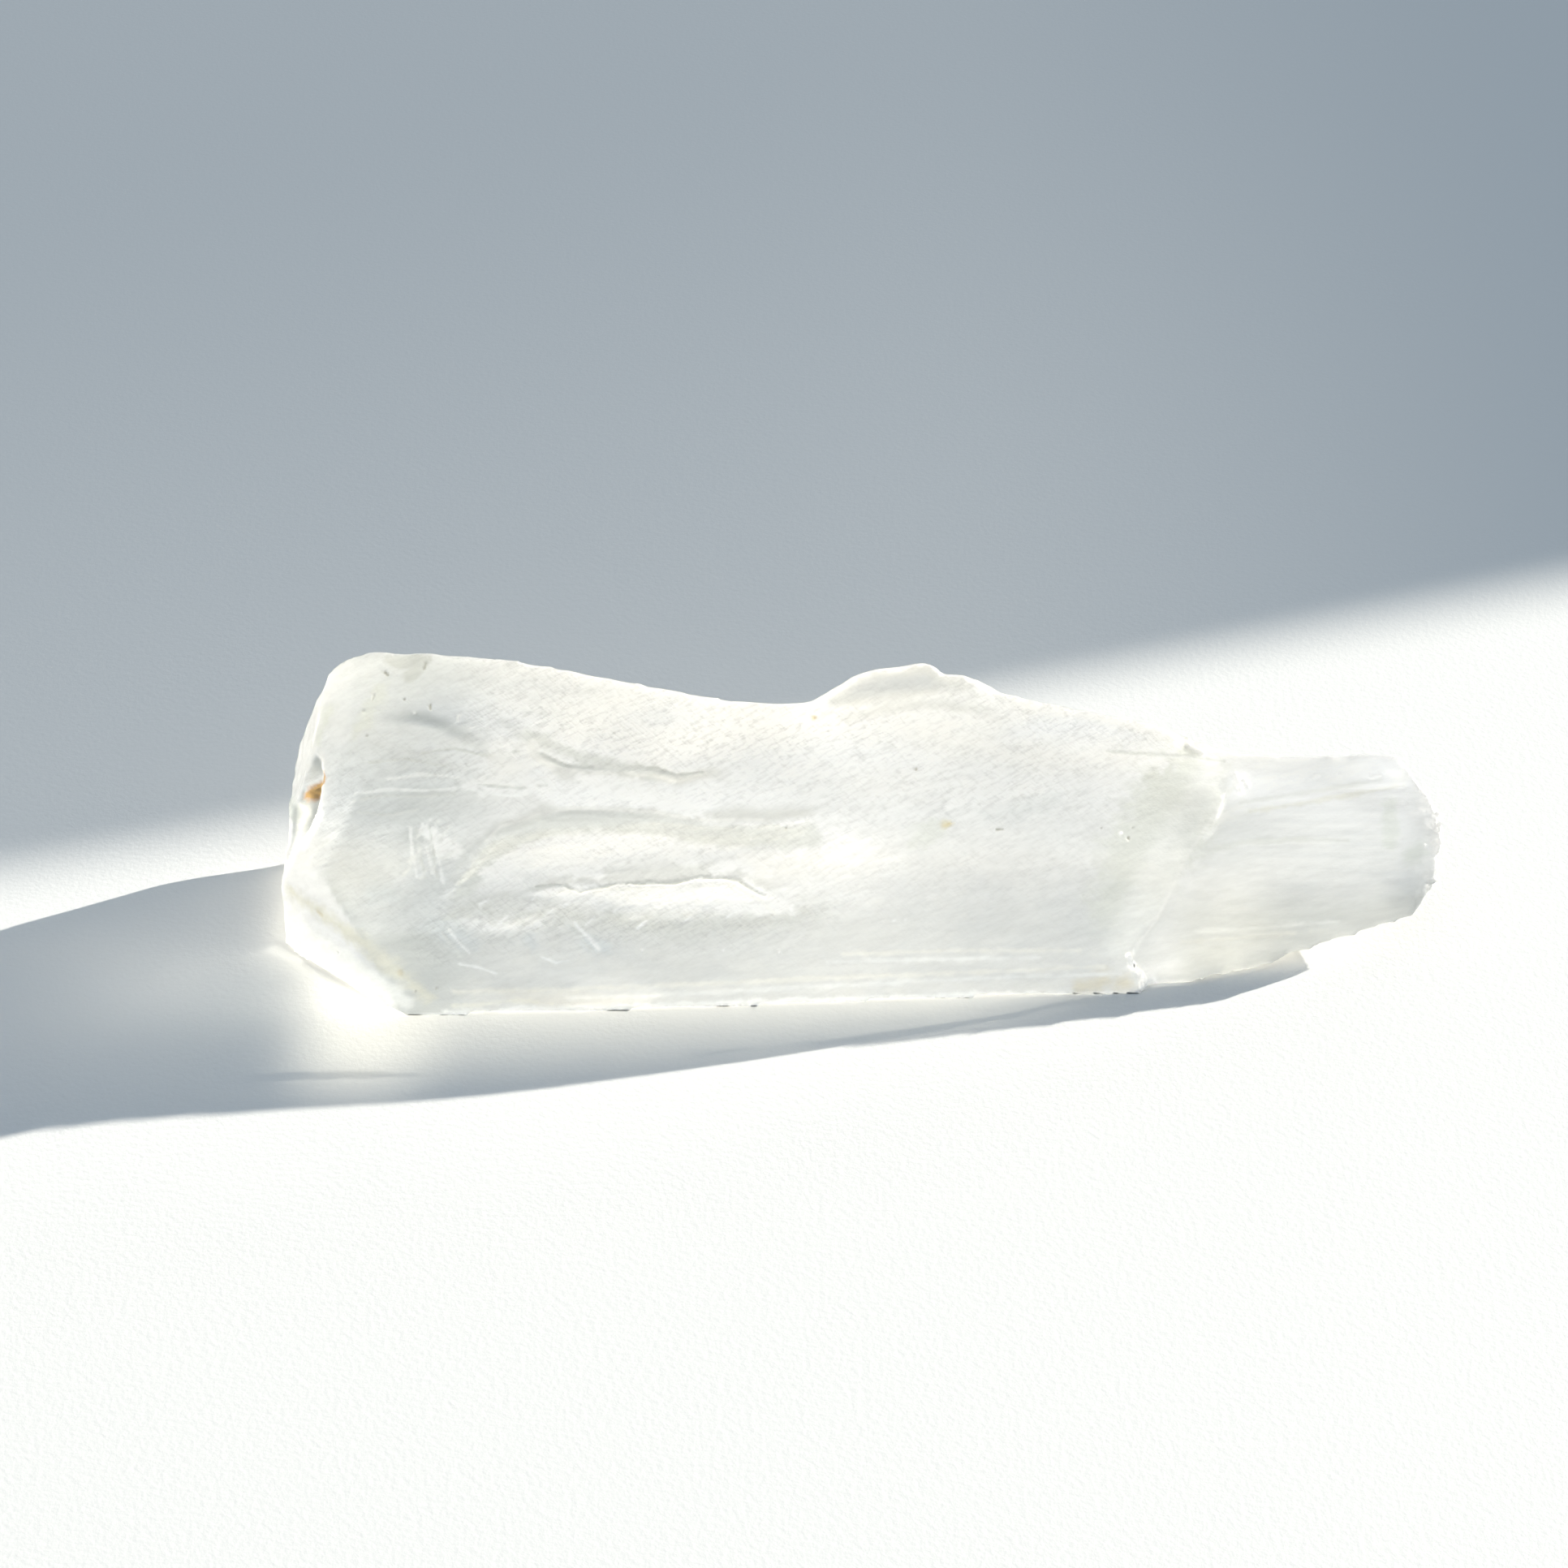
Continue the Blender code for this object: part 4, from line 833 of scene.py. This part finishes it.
def clear_quartz():
    """See-through, slightly milky stone, which lets part of the sunlight through to the floor."""
    material = bpy.data.materials.new("clear_quartz")
    nodes = Nodes(material)
    place = nodes.millimetres()
    lengthwise = nodes.add("ShaderNodeSeparateXYZ", {"Vector": place}).outputs["X"]
    grain = nodes.add("ShaderNodeAttribute", attribute_name="grain").outputs["Fac"]
    strokes = nodes.noise(nodes.leaning(place, STROKE_LEAN), (0.9, 0.22, 0.5), 2.0, 0.6)
    hatch = nodes.noise(nodes.leaning(place, HATCH_LEAN), (0.8, 0.2, 0.5), 2.0, 0.6)

    shader = nodes.shader.inputs
    links = nodes.tree.links
    links.new(quartz_colour(nodes, place, grain, strokes, hatch), shader["Base Color"])
    links.new(quartz_roughness(nodes, place, grain, lengthwise), shader["Roughness"])
    links.new(quartz_fine_relief(nodes, place, grain, strokes, hatch), shader["Normal"])
    shader["Metallic"].default_value = 0.0
    shader["IOR"].default_value = QUARTZ_IOR
    shader["Transmission Weight"].default_value = QUARTZ_TRANSMISSION
    milkiness = {"Color": rgba(*QUARTZ_BODY_COLOUR), "Density": QUARTZ_ABSORPTION}
    absorption = nodes.add("ShaderNodeVolumeAbsorption", milkiness)
    links.new(absorption.outputs["Volume"], nodes.output.inputs["Volume"])

    x, y = nodes.landing(place)
    going_in = nodes.add("ShaderNodeNewGeometry").outputs["Backfacing"]
    window = nodes.ramp(going_in, 0.0, 1.0, sunlight_out(nodes, x, y), sunlight_in(nodes, x, y))
    paths = nodes.add("ShaderNodeLightPath")
    through = nodes.math("MULTIPLY", paths.outputs["Is Shadow Ray"], window)
    clear = nodes.add("ShaderNodeBsdfTransparent", {"Color": rgba(*SUNLIGHT_TINT)})
    lit = nodes.add("ShaderNodeMixShader", {0: through, 1: nodes.shader.outputs[0], 2: clear.outputs[0]})

    blunt_end = nodes.ramp(lengthwise, -38.0, -28.0, 0.44, 0.0)
    dimmed = nodes.math("MULTIPLY", paths.outputs["Is Diffuse Ray"], blunt_end)
    outside = nodes.add("ShaderNodeMixShader", {0: dimmed, 1: lit.outputs[0]})
    links.new(outside.outputs[0], nodes.output.inputs["Surface"])
    return material


def soft_shade():
    """Lets the sun through fully before the shade's edge, hardly beyond it, and a little less far off."""
    material = bpy.data.materials.new("soft_shade")
    nodes = Nodes(material)
    x, y = nodes.landing(nodes.millimetres())
    (x_start, y_start), (x_end, y_end) = SHADE_EDGE
    length = math.hypot(x_end - x_start, y_end - y_start)
    depth = nodes.math("MULTIPLY", nodes.math("SUBTRACT", y, y_start), (x_end - x_start) / length)
    sideways = nodes.math("MULTIPLY", nodes.math("SUBTRACT", x, x_start), (y_end - y_start) / length)
    depth = nodes.math("SUBTRACT", depth, sideways)
    leak = nodes.ramp(depth, 0.0, 110.0, 0.20, 0.105)
    leak = nodes.math("MULTIPLY", leak, nodes.ramp(x, 0.0, 75.0, 1.0, 0.05))
    edge = nodes.ramp(depth, -0.5 * SHADE_SOFTNESS, 0.5 * SHADE_SOFTNESS, 1.0, 0.0)
    open_share = nodes.math("MAXIMUM", edge, leak)
    clear = nodes.add("ShaderNodeBsdfTransparent", {"Color": open_share})
    nodes.tree.links.new(clear.outputs[0], nodes.output.inputs["Surface"])
    return material


def pale_floor():
    """A matt, pale floor with a fine tooth, like heavy paper."""
    material = bpy.data.materials.new("pale_floor")
    nodes = Nodes(material)
    place = nodes.millimetres()
    nodes.shader.inputs["Base Color"].default_value = rgba(0.585, 0.59, 0.585)
    nodes.shader.inputs["Roughness"].default_value = 0.75
    grain = nodes.noise(place, (0.45, 0.45, 0.45), 3.0, 0.6)
    bump = nodes.add("ShaderNodeBump", {"Height": grain, "Strength": 0.5, "Distance": 0.033 * MM})
    nodes.tree.links.new(bump.outputs["Normal"], nodes.shader.inputs["Normal"])
    return material


# ---- the stage ----------------------------------------------------------------------------------

def flat_sheet(name, corners):
    """A flat sheet through corners, in millimetres."""
    mesh = bpy.data.meshes.new(name)
    mesh.from_pydata([Vector(corner) * MM for corner in corners], [], [range(len(corners))])
    sheet = bpy.data.objects.new(name, mesh)
    bpy.context.scene.collection.objects.link(sheet)
    return sheet


def lay_floor():
    near, far = -FLOOR_REACH, FLOOR_REACH
    corners = [(x, y, -FLOOR_DROP) for x, y in ((near, near), (far, near), (far, far), (near, far))]
    floor = flat_sheet("pale_floor", corners)
    floor.data.materials.append(pale_floor())


def hang_shade():
    """A card over the floor behind the crystal, which only shades the sun."""
    start, end = (Vector((*point, 0.0)) for point in SHADE_EDGE)
    along = (end - start).normalized()
    beyond = Vector((-along.y, along.x, 0.0))
    start -= beyond * SHADE_SOFTNESS
    end -= beyond * SHADE_SOFTNESS
    lift = SUN_FROM * (SHADE_HEIGHT / SUN_FROM.z)
    near_left = start - along * SHADE_REACH + lift
    near_right = end + along * SHADE_REACH + lift
    across = beyond * SHADE_REACH
    card = flat_sheet("shade_card", (near_left, near_right, near_right + across, near_left + across))
    card.data.materials.append(soft_shade())
    card.visible_camera = False
    card.visible_diffuse = False
    card.visible_glossy = False
    card.visible_transmission = False


def hang_sun():
    """The low key light."""
    light = bpy.data.lights.new("low_sun", "SUN")
    light.energy = SUN_STRENGTH
    light.angle = math.radians(SUN_SPREAD)
    light.color = SUN_COLOUR
    sun = bpy.data.objects.new("low_sun", light)
    bpy.context.scene.collection.objects.link(sun)
    sun.rotation_mode = "QUATERNION"
    sun.rotation_quaternion = SUN_FROM.to_track_quat("Z", "Y")


def paint_sky():
    """A soft, even, cool light from all round."""
    world = bpy.data.worlds.new("soft_sky")
    world.use_nodes = True
    background = world.node_tree.nodes["Background"].inputs
    background["Color"].default_value = rgba(*SKY_COLOUR)
    background["Strength"].default_value = SKY_STRENGTH
    world.cycles.sampling_method = "NONE"
    bpy.context.scene.world = world


def place_camera():
    """Looks down at AIM from the front."""
    pitch = math.radians(CAMERA_PITCH)
    back = Vector((0.0, -math.cos(pitch), math.sin(pitch)))
    lens = bpy.data.cameras.new("camera")
    lens.lens = LENS
    lens.sensor_width = 36.0
    lens.clip_start = 0.001
    camera = bpy.data.objects.new("camera", lens)
    bpy.context.scene.collection.objects.link(camera)
    camera.location = (Vector(AIM) + back * CAMERA_DISTANCE) * MM
    camera.rotation_mode = "QUATERNION"
    camera.rotation_quaternion = (-back).to_track_quat("-Z", "Y")
    bpy.context.scene.camera = camera


def set_light_paths():
    """Enough bounces for light to cross the stone, and the plain view transform."""
    scene = bpy.context.scene
    scene.view_settings.view_transform = "Standard"
    scene.cycles.use_denoising = True
    scene.cycles.max_bounces = 10
    scene.cycles.transmission_bounces = 8
    scene.cycles.diffuse_bounces = 4


place_camera()
hang_sun()
paint_sky()
hang_shade()
lay_floor()
set_light_paths()
carve_stone()
